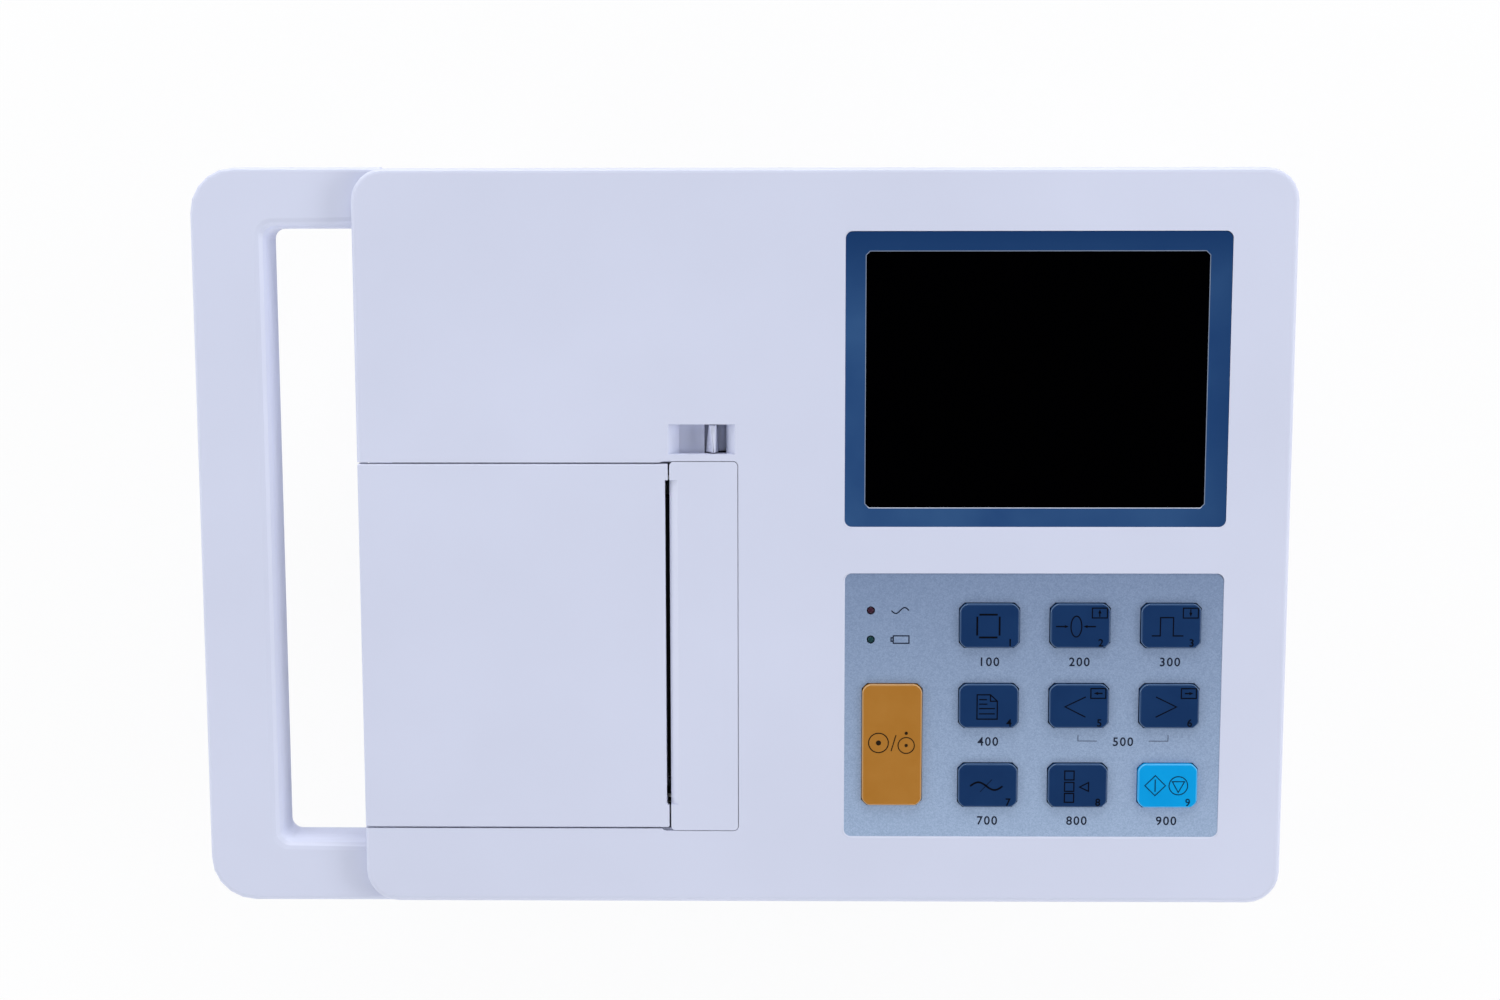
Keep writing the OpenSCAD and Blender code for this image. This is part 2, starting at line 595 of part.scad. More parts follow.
module handle_cover() color(case_colour) difference() {
    union() {
        difference() {
            grip(concat(round_over(1, 3.4, grip_top), reversed(round_over(0, 1.5, grip_top)),
                [[0, 0, grip_part], [1, 0, grip_part]]), x_left + 8);
            grip([[1, grip_wall + 1, grip_top + grip_wall], [0, grip_wall + 1, grip_top + grip_wall],
                [0, grip_wall, grip_top + grip_wall + 1], [0, grip_wall, grip_part + 1],
                [1, grip_wall, grip_part + 1], [1, grip_wall, grip_top + grip_wall + 1]], x_left - 1);
        }
        for (y = grip_screw_y) translate([grip_x, y, deck_z(y) - grip_part - 1])
            cylinder(h = grip_part - grip_top, r = boss_r);
    }
    below(-grip_part);
    // The walls of the body pass between its arms
    wedge([[tub_inset - 0.1, 10, 0], [tub_inset - 0.1, deck_mid + 5, deck_slope]]);
    for (y = grip_screw_y) translate([grip_x, y, deck_z(y) - grip_part - 2])
        cylinder(h = grip_part - grip_top - 0.5, r = screw_r + fixed_gap);
}

module case_screws() color(steel) {
    for (p = boss_places) translate([p[0], p[1], deck_z(p[1]) - boss_drop - 4])
        screw(screw_r, screw_head_r, screw_head_t, 12);
    for (y = grip_screw_y) translate([grip_x, y, deck_z(y) - grip_part - 3])
        screw(screw_r, screw_head_r, screw_head_t, 6.5);
}

module feet() color(near_black) for (p = foot_places) translate([p[0], p[1], 0]) {
    cylinder(h = foot_edge, r1 = foot_r - foot_edge, r2 = foot_r);
    translate([0, 0, foot_edge]) cylinder(h = foot_h + 1 - foot_edge, r = foot_r);
}

// Printer cover with a shallow scoop along the slot that the paper leaves through
module printer_cover() color(case_colour) at_printer() difference() {
    union() {
        plate([slot_x[1], cover_y[0]], [cover_x, cover_y[1]], -wall / 2, 0, cover_r);
        block([slot_x[1] + 0.2, cover_y[0] + 2.2, -wall], [cover_x - 2.2, cover_y[1] - 2.2, -wall / 2]);
    }
    across(-slot_half, slot_half) polygon([[slot_x[1] - 1, 1], [slot_x[1] - 1, -slot_depth],
        [slot_x[1], -slot_depth], [slot_x[1] + scoop, 0], [slot_x[1] + scoop, 1]]);
}

module tear_bar() color(steel) at_printer() translate([slot_x[1], 0, -wall - 0.8]) linear_extrude(0.8)
    polygon(concat([for (i = [0:48]) [i % 2 == 0 ? 0 : 0.6, (i - 24) * 2]], [[8, 48], [8, -48]]));

module paper_door() color(case_colour) at_printer() difference() {
    union() {
        block([cover_gap, door_y[0], -door_t], [door_x, door_y[1], 0]);
        block([cover_gap, door_y[0], -rim_h], [cover_gap + door_t, door_y[1], 0]);
        // Ribs that stiffen it
        for (y = [-36, -12, 12, 36]) block([14, y - 0.8, -door_t - 2], [70, y + 0.8, -1]);
        // Ears that carry the platen
        for (side = [-1, 1]) across(side > 0 ? ear_y : -ear_y - ear_t, side > 0 ? ear_y + ear_t : -ear_y) {
            polygon([[76, -2], [79.5, platen_at[1]], [88.5, platen_at[1]], [89.2, -2]]);
            translate(platen_at) circle(4.5);
        }
        // Knuckles of its hinge
        for (y = door_knuckles) across(y[0], y[1]) {
            translate(hinge) circle(3);
            polygon([[2, hinge[1]], [2, -2], [9.6, -2], [8, hinge[1]]]);
        }
    }
    block([slot_x[0], -slot_half, -door_t - 0.1], [door_x + 1, slot_half, 1]);
    for (y = [-ear_y - ear_t - 1, ear_y - 1]) rod(platen_at, y, y + ear_t + 2, platen_shaft_r + run_gap);
    for (y = door_knuckles) rod(hinge, y[0] - 1, y[1] + 1, hinge_r + run_gap);
}
door_knuckles = [[-47, -40.3], [-29.7, -23], [21, 27.7], [38.3, 45]];
bay_knuckles = [[-40, -30], [28, 38]];

module door_hinge_pin() color(steel) at_printer() rod(hinge, -48, 46, hinge_r);

module platen_roller() color(near_black) at_printer() difference() {
    rod(platen_at, -platen_half, platen_half, platen_r);
    rod(platen_at, -platen_half - 1, platen_half + 1, platen_shaft_r + fixed_gap);
}
module platen_shaft() color(steel) at_printer() rod(platen_at, gear_y, 51.5, platen_shaft_r);
module platen_gear() color([0.9, 0.9, 0.86]) at_printer()
    gear(platen_at, platen_teeth, 0, platen_shaft_r + fixed_gap);
module platen_bushes() color(brass) at_printer()
    for (y = [-plate_y - plate_t - 0.4, plate_y - 0.8]) difference() {
        rod(platen_at, y, y + 2, 4);
        rod(platen_at, y - 1, y + 3, platen_shaft_r + run_gap);
    }

// Trough for the roll, with cradles for the reel and knuckles for the door
module paper_bay() color(inner_colour) at_printer() difference() {
    union() {
        difference() {
            block([bay_x[0], bay_y[0], bay_floor], [bay_x[1], bay_y[1], bay_top]);
            block([bay_x[0] + 2, bay_y[0] + 2, bay_floor + 2], [bay_x[1] - 2, bay_y[1] - 2, 1]);
            block([bay_x[1] - 12, bay_y[0] - 1, -22], [bay_x[1] + 1, bay_y[1] + 1, 1]);
        }
        for (y = [bay_y[0] + 1, bay_y[1] - 7])
            block([roll_at[0] - 8, y, bay_floor + 1], [roll_at[0] + 8, y + 6, roll_at[1] + 6]);
        // Ears under the posts of the top case
        for (p = bay_posts) {
            ear = p[1] < 0 ? [p[1] - 3.5, bay_y[0] + 1] : [bay_y[1] - 1, p[1] + 3.5];
            plate([p[0] - 5, ear[0]], [p[0] + 5, ear[1]], -8, -6, 1);
        }
        for (y = bay_knuckles) across(y[0], y[1]) {
            translate(hinge) circle(3);
            translate([hinge[0], hinge[1] - 3]) square([bay_x[0] - hinge[0] + 1, 6]);
        }
    }
    across(bay_y[0] + 2, bay_y[1] - 2) {
        translate(roll_at) circle(stub_r + 0.1);
        translate([roll_at[0] - stub_r - 0.1, roll_at[1]]) square([2 * stub_r + 0.2, 10]);
    }
    for (p = bay_posts) translate([p[0], p[1], -9]) cylinder(h = 4, r = 1.3);
    for (y = bay_knuckles) rod(hinge, y[0] - 1, y[1] + 1, hinge_r + fixed_gap);
}

module paper_roll() color([0.95, 0.93, 0.90]) at_printer() difference() {
    rod(roll_at, -paper_w / 2, paper_w / 2, roll_r);
    rod(roll_at, -paper_w / 2 - 1, paper_w / 2 + 1, core_r);
}
module paper_core() color([0.72, 0.56, 0.38]) at_printer() difference() {
    rod(roll_at, -paper_w / 2, paper_w / 2, core_r - fixed_gap);
    rod(roll_at, -paper_w / 2 - 1, paper_w / 2 + 1, core_hole_r);
}
module paper_reel() color(inner_colour) at_printer() {
    rod(roll_at, -paper_w / 2 - 1, paper_w / 2 + 1, reel_r);
    rod(roll_at, bay_y[0] + 3, bay_y[1] - 3, stub_r);
    for (side = [-1, 1]) rod(roll_at, side * (paper_w / 2 + 1.5) - 1, side * (paper_w / 2 + 1.5) + 1, 9);
}

// Sheet-metal frame: a floor, two side plates and a back
module printer_chassis() color(steel) at_printer() difference() {
    union() {
        block([chassis_x[0], -plate_y - plate_t, chassis_z],
            [chassis_x[1], plate_y + plate_t, chassis_z + plate_t]);
        for (y = [-plate_y - plate_t, plate_y]) across(y, y + plate_t)
            polygon([[chassis_x[0], chassis_z], [chassis_x[1], chassis_z], [chassis_x[1], -7], [95, -7],
                [91.5, -10], [chassis_x[0], -10]]);
        block([chassis_x[1] - plate_t, -plate_y - plate_t, chassis_z],
            [chassis_x[1], plate_y + plate_t, -12]);
        // Guide that leads the paper under the platen
        across(-plate_y - plate_t, plate_y + plate_t) polygon([[80.2, -26], [81.4, -26], [81.4, -22.9],
            [88, -21.9], [88, -20.7], [80.2, -21.8]]);
    }
    for (y = [-plate_y - plate_t - 1, plate_y - 1]) {
        // Notch that the platen's bush drops into
        rod(platen_at, y, y + 4, 4.3);
        block([platen_at[0] - 4.3, y, platen_at[1]], [platen_at[0] + 4.3, y + 4, 0]);
        rod(latch_at, y, y + 4, latch_r + run_gap);
        rod(head_pivot_at, y, y + 4, head_pivot_r + fixed_gap);
    }
    rod(motor_at, -plate_y - plate_t - 1, -plate_y + 1, 3);
    for (p = chassis_feet) translate([p[0], p[1], chassis_z - 1]) cylinder(h = 4, r = 1.3);
}

module print_head() color([0.88, 0.86, 0.80]) at_printer()
    block([head_x, -41, -21], [head_x + 1.6, 41, -6]);
// Swinging block behind the print head, finned to carry its heat away
module head_carrier() color([0.75, 0.76, 0.78]) at_printer() difference() {
    union() {
        for (z = [-9, -11.6, -14.2]) block([head_x + 4.5, -40, z], [head_x + 7.5, 40, z + 1]);
        block([head_x + 1.6, -42, head_pivot_at[1]], [head_x + 5, 42, -6.5]);
        rod(head_pivot_at, -42, 42, 3);
    }
    rod(head_pivot_at, -43, 43, head_pivot_r + run_gap);
}
module head_pivot() color(steel) at_printer() rod(head_pivot_at, -49, 49, head_pivot_r);
module head_springs() color(steel) at_printer() for (y = [-24, 0, 24])
    translate([head_x + 5.75, y, -19]) rotate([0, 90, 0])
    coil(2, 0.35, 6, chassis_x[1] - plate_t - head_x - 6.15);

module stepper_motor() color(steel) at_printer() difference() {
    union() {
        rod(motor_at, -plate_y, -32, motor_r);
        rod(motor_at, -plate_y - 0.8, -plate_y, 2.9);
    }
    rod(motor_at, -plate_y - 2, -38, motor_shaft_r + run_gap);
}
// The pinion is pressed on the shaft of the motor and turns with it
module motor_pinion() color(brass) at_printer() {
    gear(motor_at, pinion_teeth, pinion_phase, motor_shaft_r / 2);
    rod(motor_at, gear_y, -38.5, motor_shaft_r);
}
pinion_phase = let (
    pitch = 360 / idler_teeth,
    ahead = motor_angle - round(motor_angle / pitch) * pitch)
    motor_angle + 180 + ahead * idler_teeth / pinion_teeth + 180 / pinion_teeth;
module idler_gear() color([0.9, 0.9, 0.86]) at_printer() {
    gear(idler_at, idler_teeth, 0, idler_pin_r + run_gap);
    difference() {
        rod(idler_at, gear_y + gear_t, -plate_y - plate_t - 0.2, 3);
        rod(idler_at, gear_y, -plate_y, idler_pin_r + run_gap);
    }
}
module idler_pin() color(steel) at_printer() {
    rod(idler_at, gear_y - 0.3, -plate_y - plate_t, idler_pin_r);
    rod(idler_at, gear_y - 1, gear_y - 0.3, idler_pin_r + 0.8);
}

// Shaft with a hook at each end that holds the platen's shaft down
module latch_shaft() color(steel) at_printer() {
    rod(latch_at, -hook_y - hook_t - 0.4, recess_y[1] + 1, latch_r);
    for (y = [-hook_y - hook_t, hook_y]) across(y, y + hook_t) {
        translate(latch_at) circle(4);
        polygon([[98.6, -32], [87, -15.5], [87, -10.3], [85.3, -10.3], [85.3, -9.4], [88.2, -6.4],
            [91.5, -8.4], [104.8, -28]]);
    }
}
// Finger lever on the end of the latch shaft. Its flanks widen towards the user, and a curved
// shield that turns with it closes the slot that it moves in.
shield_r = 23.4;
module release_lever() color(case_colour) at_printer() difference() {
    union() {
        rod(latch_at, lever_y[0], lever_y[1], 4.5);
        across(lever_y[0], lever_y[1]) {
            polygon([[latch_at[0] - 2, latch_at[1]], [lever_foot[1][0], -7], [lever_foot[1][1], -7],
                [latch_at[0] + 3, latch_at[1]]]);
            polygon([for (r = [shield_r, shield_r - 1.2]) each [for (i = [0:8])
                let (a = r == shield_r ? 100 - 4 * i : 68 + 4 * i)
                latch_at + r * [cos(a), sin(a)]]]);
        }
        skin([for (i = [0:8]) let (
            t = i / 8,
            foot = lever_foot[0] * (1 - t) + lever_foot[1] * t,
            ridge = lever_ridge[0] * (1 - t) + lever_ridge[1] * t,
            y = lever_y[0] * (1 - t) + lever_y[1] * t)
            [for (q = [[foot[0], -8], [foot[0], -5.4], [ridge[0], lever_top - 0.5],
                [ridge[0] + 0.3, lever_top], [ridge[1] - 0.3, lever_top],
                [ridge[1], lever_top - 0.5], [foot[1], -5.4], [foot[1], -8]]) [q[0], y, q[1]]]]);
    }
    rod(latch_at, recess_y[0], recess_y[1], latch_r + fixed_gap);
}
module latch_spring() color(steel) at_printer()
    translate([latch_at[0], 51.6, latch_at[1]]) rotate([-90, 0, 0]) coil(2.75, 0.35, 4, 3.6);

module paper_sensor() color(near_black) at_printer() block([bay_x[1], -5, -27], [bay_x[1] + 4, 5, -22.5]);

// Main board with its connectors and chips
module main_board() color(board_green) difference() {
    block([x_right - 151, -45, main_z - board_t], [x_right - 9, 39, main_z]);
    for (p = main_posts) translate([p[0], p[1], main_z - 3]) cylinder(h = 6, r = 1.3);
}
module board_parts() color(near_black) {
    for (c = [[-120, 0, 24, 24, 2.4], [-88, 6, 18, 12, 2], [-60, 0, 14, 20, 2.2], [-90, -26, 12, 12, 6],
            [-132, -32, 30, 8, 8], [-60, -34, 26, 8, 8], [-36, -6, 10, 16, 3]])
        block([x_right + c[0], c[1], main_z], [x_right + c[0] + c[2], c[1] + c[3], main_z + c[4]]);
    for (i = [0:3]) translate([x_right - 110 + 12 * i, 32, main_z]) cylinder(h = 11, r = 4);
    // Speaker over its slots in the base
    translate([speaker_at[0], speaker_at[1], floor_z]) {
        cylinder(h = 4, r = 16);
        translate([0, 0, 4]) cylinder(h = 5, r = 9);
    }
}

// Mains power supply on its own board: transformer, capacitors, heat sink and line filter
module power_supply() color([0.20, 0.30, 0.22]) difference() {
    union() {
        block([x_left + 11, 35, supply_z - board_t], [x_left + 97, 87, supply_z]);
        // Transformer: its winding stands through the core
        block([x_left + 26, 46, supply_z], [x_left + 52, 72, supply_z + 24]);
        block([x_left + 22, 50, supply_z + 4], [x_left + 56, 68, supply_z + 20]);
        for (y = [48, 64]) translate([x_left + 66, y, supply_z]) cylinder(h = 22, r = 7);
        // Heat sink with its fins
        block([x_left + 78, 44, supply_z], [x_left + 80, 78, supply_z + 22]);
        for (y = [44:4:76]) block([x_left + 79, y, supply_z], [x_left + 85, y + 1.2, supply_z + 22]);
        for (y = [40, 80]) translate([x_left + 60, y, supply_z]) cylinder(h = 9, r = 3.2);
        block([x_left + 34, 76, supply_z], [x_left + 52, 84, supply_z + 14]);
    }
    for (p = supply_posts) translate([p[0], p[1], supply_z - 3]) cylinder(h = 6, r = 1.3);
}

// Four cells side by side in a shrink wrap, with their protection board on top
module battery_pack() color([0.15, 0.35, 0.55])
    translate([x_right + (well[0][0] + well[1][0]) / 2, 0, foot_h + battery_door_t + 0.4]) {
        cell_y = [well[0][1] + 0.8, well[1][1] - 0.8];
        for (i = [-1.5:1.5]) rod([i * cell_pitch, cell_r], cell_y[0], cell_y[1], cell_r);
        block([-1.5 * cell_pitch, cell_y[0], cell_r], [1.5 * cell_pitch, cell_y[1], 2 * cell_r - 0.6]);
        block([-22, well[0][1] + 6, cell_r], [22, well[1][1] - 6, 2 * cell_r + 6]);
    }
// Battery door with grooves to push it by
module battery_door() color(case_colour) translate([x_right, 0, 0]) difference() {
    plate(well[0] - [1, 1], well[1] + [1, 1], foot_h + 0.05, foot_h + battery_door_t, 0.8);
    translate([well[1][0] - 12, (well[0][1] + well[1][1]) / 2, foot_h]) for (i = [0:4])
        block([-2 * i - 1, -9, -1], [-2 * i, 9, 0.8]);
}

// Frame of the rear panel: X along the panel towards the left side, Y up it, Z out of it
module at_rear(x) translate([x, rear_face, rear_mid_z]) rotate([90, 0, 180]) children();
module rear_cuts() {
    at_rear(inlet_x) plate([-13.8, -10], [13.8, 10], -20, 1, 2);
    at_rear(switch_x) plate([-6.6, -9.7], [6.6, 9.7], -20, 1, 0.8);
    for (x = fuse_x) at_rear(x) translate([0, 0, -20]) cylinder(h = 21, r = 6.1);
    at_rear(earth_x) translate([0, 0, -20]) cylinder(h = 21, r = 3.1);
}
module mains_inlet() color(near_black) at_rear(inlet_x) {
    difference() {
        union() {
            plate([-25, -11], [25, 11], 0, 2, 3);
            plate([-13.6, -9.8], [13.6, 9.8], -17, 0, 2);
        }
        translate([0, 0, -15]) linear_extrude(20)
            polygon([[-12.2, -8.2], [12.2, -8.2], [12.2, 3.2], [7.2, 8.2], [-7.2, 8.2], [-12.2, 3.2]]);
        for (x = [-20, 20]) translate([x, 0, -1]) cylinder(h = 4, r = 1.8);
    }
    for (p = [[-7, -2], [0, 2], [7, -2]]) block([p[0] - 1, p[1] - 2, -24], [p[0] + 1, p[1] + 2, -5]);
}
module power_switch() color(near_black) at_rear(switch_x) difference() {
    union() {
        plate([-7.5, -10.5], [7.5, 10.5], 0, 1.2, 1);
        plate([-6.5, -9.6], [6.5, 9.6], -14, 0, 0.8);
    }
    block([-5.2, -8.3, -9], [5.2, 8.3, 3]);
    rocker_rod(rocker_pin_r + run_gap, 6.1);
}
rocker_z = -3;
rocker_tilt = 6;
rocker_pin_r = 1;
module rocker_rod(r, x) translate([-x, 0, rocker_z]) rotate([0, 90, 0]) cylinder(h = 2 * x, r = r);
// Rocker bent to a flat V, so one half lies flush while the other stands up
module power_rocker() color(near_black) at_rear(switch_x) {
    translate([-4.9, 0, rocker_z]) rotate([rocker_tilt, 0, 0]) rotate([90, 0, 90]) linear_extrude(9.8)
        polygon([[-7.4, 3.9], [-7.2, 1.8], [-3, -1.6], [3, -1.6], [7.2, 1.8], [7.4, 3.9], [0, 3.1]]);
    rocker_rod(rocker_pin_r, 6);
}
module rear_terminals() color(steel) {
    for (x = fuse_x) at_rear(x) difference() {
        union() {
            translate([0, 0, -16]) cylinder(h = 16, r = 6);
            cylinder(h = 2.4, r = 7.2);
        }
        block([-4.5, -0.6, 1.4], [4.5, 0.6, 3]);
    }
    at_rear(earth_x) {
        translate([0, 0, -8]) cylinder(h = 8, r = 3);
        cylinder(h = 1, r = 5.5);
        translate([0, 0, 1]) cylinder(h = 1.9, r = 3);
    }
}

// Frame of the right-hand panel: X along it, Y up it, Z out of it
module at_side(y, z) translate([side_face, y, z]) rotate([90, 0, 90]) children();
patient_at = [40, 32];
jackscrews = [-16.65, 16.65];
usb_at = [-14, 27];
module side_cuts() {
    at_side(patient_at[0], patient_at[1]) plate([-12.8, -4.6], [12.8, 4.6], -20, 1, 2);
    at_side(usb_at[0], usb_at[1]) block([-6.2, -5.7, -20], [6.2, 5.7, 1]);
    for (x = jackscrews) at_side(patient_at[0], patient_at[1])
        translate([x, 0, -20]) cylinder(h = 21, r = 1.7);
}
module side_sockets() color(steel) {
    at_side(patient_at[0], patient_at[1]) difference() {
        union() {
            plate([-19.5, -6.2], [19.5, 6.2], 0, 1, 1);
            plate([-12.4, -4.2], [12.4, 4.2], -14, 2.8, 1.8);
            for (x = jackscrews) translate([x, 0, -8]) cylinder(h = 10.8, r = 1.6);
        }
        for (x = jackscrews) translate([x, 0, -3]) cylinder(h = 10, r = 1);
        for (i = [0:7]) translate([(i - 3.5) * 2.74, 1.4, -4]) cylinder(h = 10, r = 0.5);
        for (i = [0:6]) translate([(i - 3) * 2.74, -1.4, -4]) cylinder(h = 10, r = 0.5);
    }
    at_side(usb_at[0], usb_at[1]) difference() {
        block([-6, -5.5, -16], [6, 5.5, 0.4]);
        block([-4.2, -3.9, -8], [4.2, 3.9, 3]);
    }
}

// Flat cables from the boards under the deck to the main board
module ribbon_cables() color([0.75, 0.75, 0.78]) {
    for (c = [[-118, -30, 16], [-50, -32, 18]]) translate([x_right + c[0], 0, 0]) rotate([90, 0, 90])
        linear_extrude(c[2]) polygon([[c[1] + 2, main_z + 8.2], [c[1] + 2.6, main_z + 8.2],
            [c[1] + 2.6, deck_z(c[1]) - 12], [c[1] + 2, deck_z(c[1]) - 12]]);
}

top_case();
bottom_case();
handle_cover();
case_screws();
feet();
display_window();
lcd_panel();
lcd_frame();
lcd_board();
keypad_overlay();
key_1();
key_2();
key_3();
key_4();
key_5();
key_6();
key_7();
key_8();
key_9();
key_power();
key_switches();
keypad_board();
indicator_leds();
board_screws();
printer_cover();
tear_bar();
paper_door();
door_hinge_pin();
platen_roller();
platen_shaft();
platen_gear();
platen_bushes();
paper_bay();
paper_roll();
paper_core();
paper_reel();
printer_chassis();
print_head();
head_carrier();
head_pivot();
head_springs();
stepper_motor();
motor_pinion();
idler_gear();
idler_pin();
latch_shaft();
release_lever();
latch_spring();
paper_sensor();
main_board();
board_parts();
power_supply();
battery_pack();
battery_door();
mains_inlet();
power_switch();
power_rocker();
rear_terminals();
side_sockets();
ribbon_cables();
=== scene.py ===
# %% [markdown]
# # Finishing a tabletop ECG machine
# The solid model arrives as a frame of named parts, already in place and at real size.
# Everything below adds what a solid model can't hold: the camera, the studio, the
# finish of every surface, the prints on the keys and the small marks on the case.
# All lengths are in metres; `MM` turns millimetres into them.

import bpy
import bmesh
import json
import math
from mathutils import Matrix, Vector


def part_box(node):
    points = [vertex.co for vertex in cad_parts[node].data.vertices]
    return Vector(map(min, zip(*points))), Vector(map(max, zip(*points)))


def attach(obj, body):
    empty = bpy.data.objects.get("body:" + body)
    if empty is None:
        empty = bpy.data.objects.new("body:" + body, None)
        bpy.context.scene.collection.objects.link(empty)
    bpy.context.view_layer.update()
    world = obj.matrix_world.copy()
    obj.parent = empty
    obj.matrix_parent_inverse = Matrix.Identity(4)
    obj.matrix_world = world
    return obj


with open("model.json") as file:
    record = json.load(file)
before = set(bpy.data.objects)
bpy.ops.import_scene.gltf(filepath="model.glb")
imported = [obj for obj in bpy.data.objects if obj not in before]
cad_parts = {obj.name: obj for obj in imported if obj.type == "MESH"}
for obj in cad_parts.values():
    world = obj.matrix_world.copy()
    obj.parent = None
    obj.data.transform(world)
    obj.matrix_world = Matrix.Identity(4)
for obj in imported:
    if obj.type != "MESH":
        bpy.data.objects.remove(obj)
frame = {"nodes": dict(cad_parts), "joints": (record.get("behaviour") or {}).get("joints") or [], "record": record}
nodes = frame["nodes"]
joints = {joint["name"]: joint for joint in frame["joints"]}
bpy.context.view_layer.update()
MM = 0.001
SAME_POINT = 0.002 * MM

# %% [markdown]
# ## The deck's own axes
# The top of the machine slopes towards the user, so prints on it need axes that lie in
# that slope. They could be typed in as an angle, but the frame already knows the upright:
# every key travels straight into the deck, so the first key's travel gives it. The door's
# hinge runs along the deck, but the axis across is simply taken from left to right.

# %% Axes that lie in the sloping deck
def axes_matrix(x, y, z):
    """Matrix that turns the first three axes into x, y and z."""
    return Matrix((x, y, z)).transposed().to_4x4()


right = Vector((1, 0, 0))
deck_up = -Vector(joints["key_1_press"]["axis"]).normalized()
deck_back = deck_up.cross(right).normalized()
top_verts = [v.co for v in nodes["top_case"].data.vertices]
deck_height = max(co.dot(deck_up) for co in top_verts)
deck_origin = Vector((0, 0, deck_height / deck_up.z))
deck_matrix = Matrix.Translation(deck_origin) @ axes_matrix(right, deck_back, deck_up)
deck_slope = math.atan2(-deck_up.y, deck_up.z)
print("deck slopes", round(math.degrees(deck_slope), 2), "degrees")


def deck_box(name):
    """Lowest and highest corner of a part, measured along the deck's own axes."""
    to_deck = deck_matrix.inverted()
    points = [to_deck @ v.co for v in nodes[name].data.vertices]
    return (Vector([min(p[i] for p in points) for i in range(3)]),
            Vector([max(p[i] for p in points) for i in range(3)]))


# %% [markdown]
# ## Camera
# The machine is seen from almost straight above, from about arm's length. A normal lens
# at that distance gives the slight widening towards the raised rear edge. The place and
# the tilt were found by matching the corners of the case, the window and the keys.

# %% Place the camera
LENS = 50.4
CAMERA_AT = Vector((10.15, 31.5, 676.0)) * MM
CAMERA_TILT = (-1.80, 0.71, 0.0)
camera_data = bpy.data.cameras.new("camera")
camera_data.lens = LENS
camera_data.sensor_width = 36
camera_data.clip_start = 0.01
camera = bpy.data.objects.new("camera", camera_data)
camera.location = CAMERA_AT
camera.rotation_euler = [math.radians(a) for a in CAMERA_TILT]
bpy.context.scene.collection.objects.link(camera)
bpy.context.scene.camera = camera
print("camera", round(camera.location.z, 3), "m above the table")

# %% [markdown]
# ## Studio
# A product table: a white sweep that the camera sees as white, but which still takes the
# soft shadow of the machine. Light Path tells the shader which rays come straight from the
# camera, off a mirror or through glass, so the paper-white costs no extra light on the
# machine. The table is clear from below, so that the base can be looked at too.

# %% Build the white table
def tree_of(owner):
    """Empty node tree of a material or world."""
    owner.use_nodes = True
    owner.node_tree.nodes.clear()
    return owner.node_tree


def add(tree, kind, inputs=None, **settings):
    """New node with its settings and the values of its inputs; an input may be a socket."""
    node = tree.nodes.new(kind)
    for key, value in settings.items():
        setattr(node, key, value)
    for key, value in (inputs or {}).items():
        if isinstance(value, bpy.types.NodeSocket):
            tree.links.new(value, node.inputs[key])
        else:
            node.inputs[key].default_value = value
    return node


def sees_studio(tree):
    """1 for rays that show the studio as such: from the camera, off gloss, through glass."""
    path = add(tree, "ShaderNodeLightPath").outputs
    direct = add(tree, "ShaderNodeMath", {0: path["Is Camera Ray"], 1: path["Is Transmission Ray"]},
                 operation="MAXIMUM").outputs[0]
    return add(tree, "ShaderNodeMath", {0: direct, 1: path["Is Glossy Ray"]},
               operation="MAXIMUM").outputs[0]


TABLE_SIZE, TABLE_GLOW = 6.0, 0.91
WHITE = (0.86, 0.865, 0.88, 1)
table_mesh = bpy.data.meshes.new("studio_table")
half = TABLE_SIZE / 2
table_mesh.from_pydata([(-half, -half, 0), (half, -half, 0), (half, half, 0), (-half, half, 0)],
                       [], [(0, 1, 2, 3)])
table = bpy.data.objects.new("studio_table", table_mesh)
bpy.context.scene.collection.objects.link(table)
white_paper = bpy.data.materials.new("white_sweep")
tree = tree_of(white_paper)
matt = add(tree, "ShaderNodeBsdfDiffuse", {"Color": WHITE})
glow = add(tree, "ShaderNodeEmission", {"Color": (1, 1, 1, 1), "Strength": 1.0})
share = add(tree, "ShaderNodeMath", {0: sees_studio(tree), 1: TABLE_GLOW}, operation="MULTIPLY")
mixed = add(tree, "ShaderNodeMixShader", {0: share.outputs[0], 1: matt.outputs[0],
                                          2: glow.outputs[0]})
clear = add(tree, "ShaderNodeBsdfTransparent")
below = add(tree, "ShaderNodeNewGeometry").outputs["Backfacing"]
one_sided = add(tree, "ShaderNodeMixShader", {0: below, 1: mixed.outputs[0], 2: clear.outputs[0]})
add(tree, "ShaderNodeOutputMaterial", {"Surface": one_sided.outputs[0]})
table_mesh.materials.append(white_paper)
print("table", TABLE_SIZE, "m wide")

# %% [markdown]
# ### Light
# The room is a light tent: its walls are brighter than its ceiling, so every rounded edge
# catches a line of light while the flat deck stays even. Four long soft boxes hang low
# round the machine, the rear one strongest. Light that grazes the deck is what draws its
# edges. One lamp overhead would be simpler, but it would flatten every form.

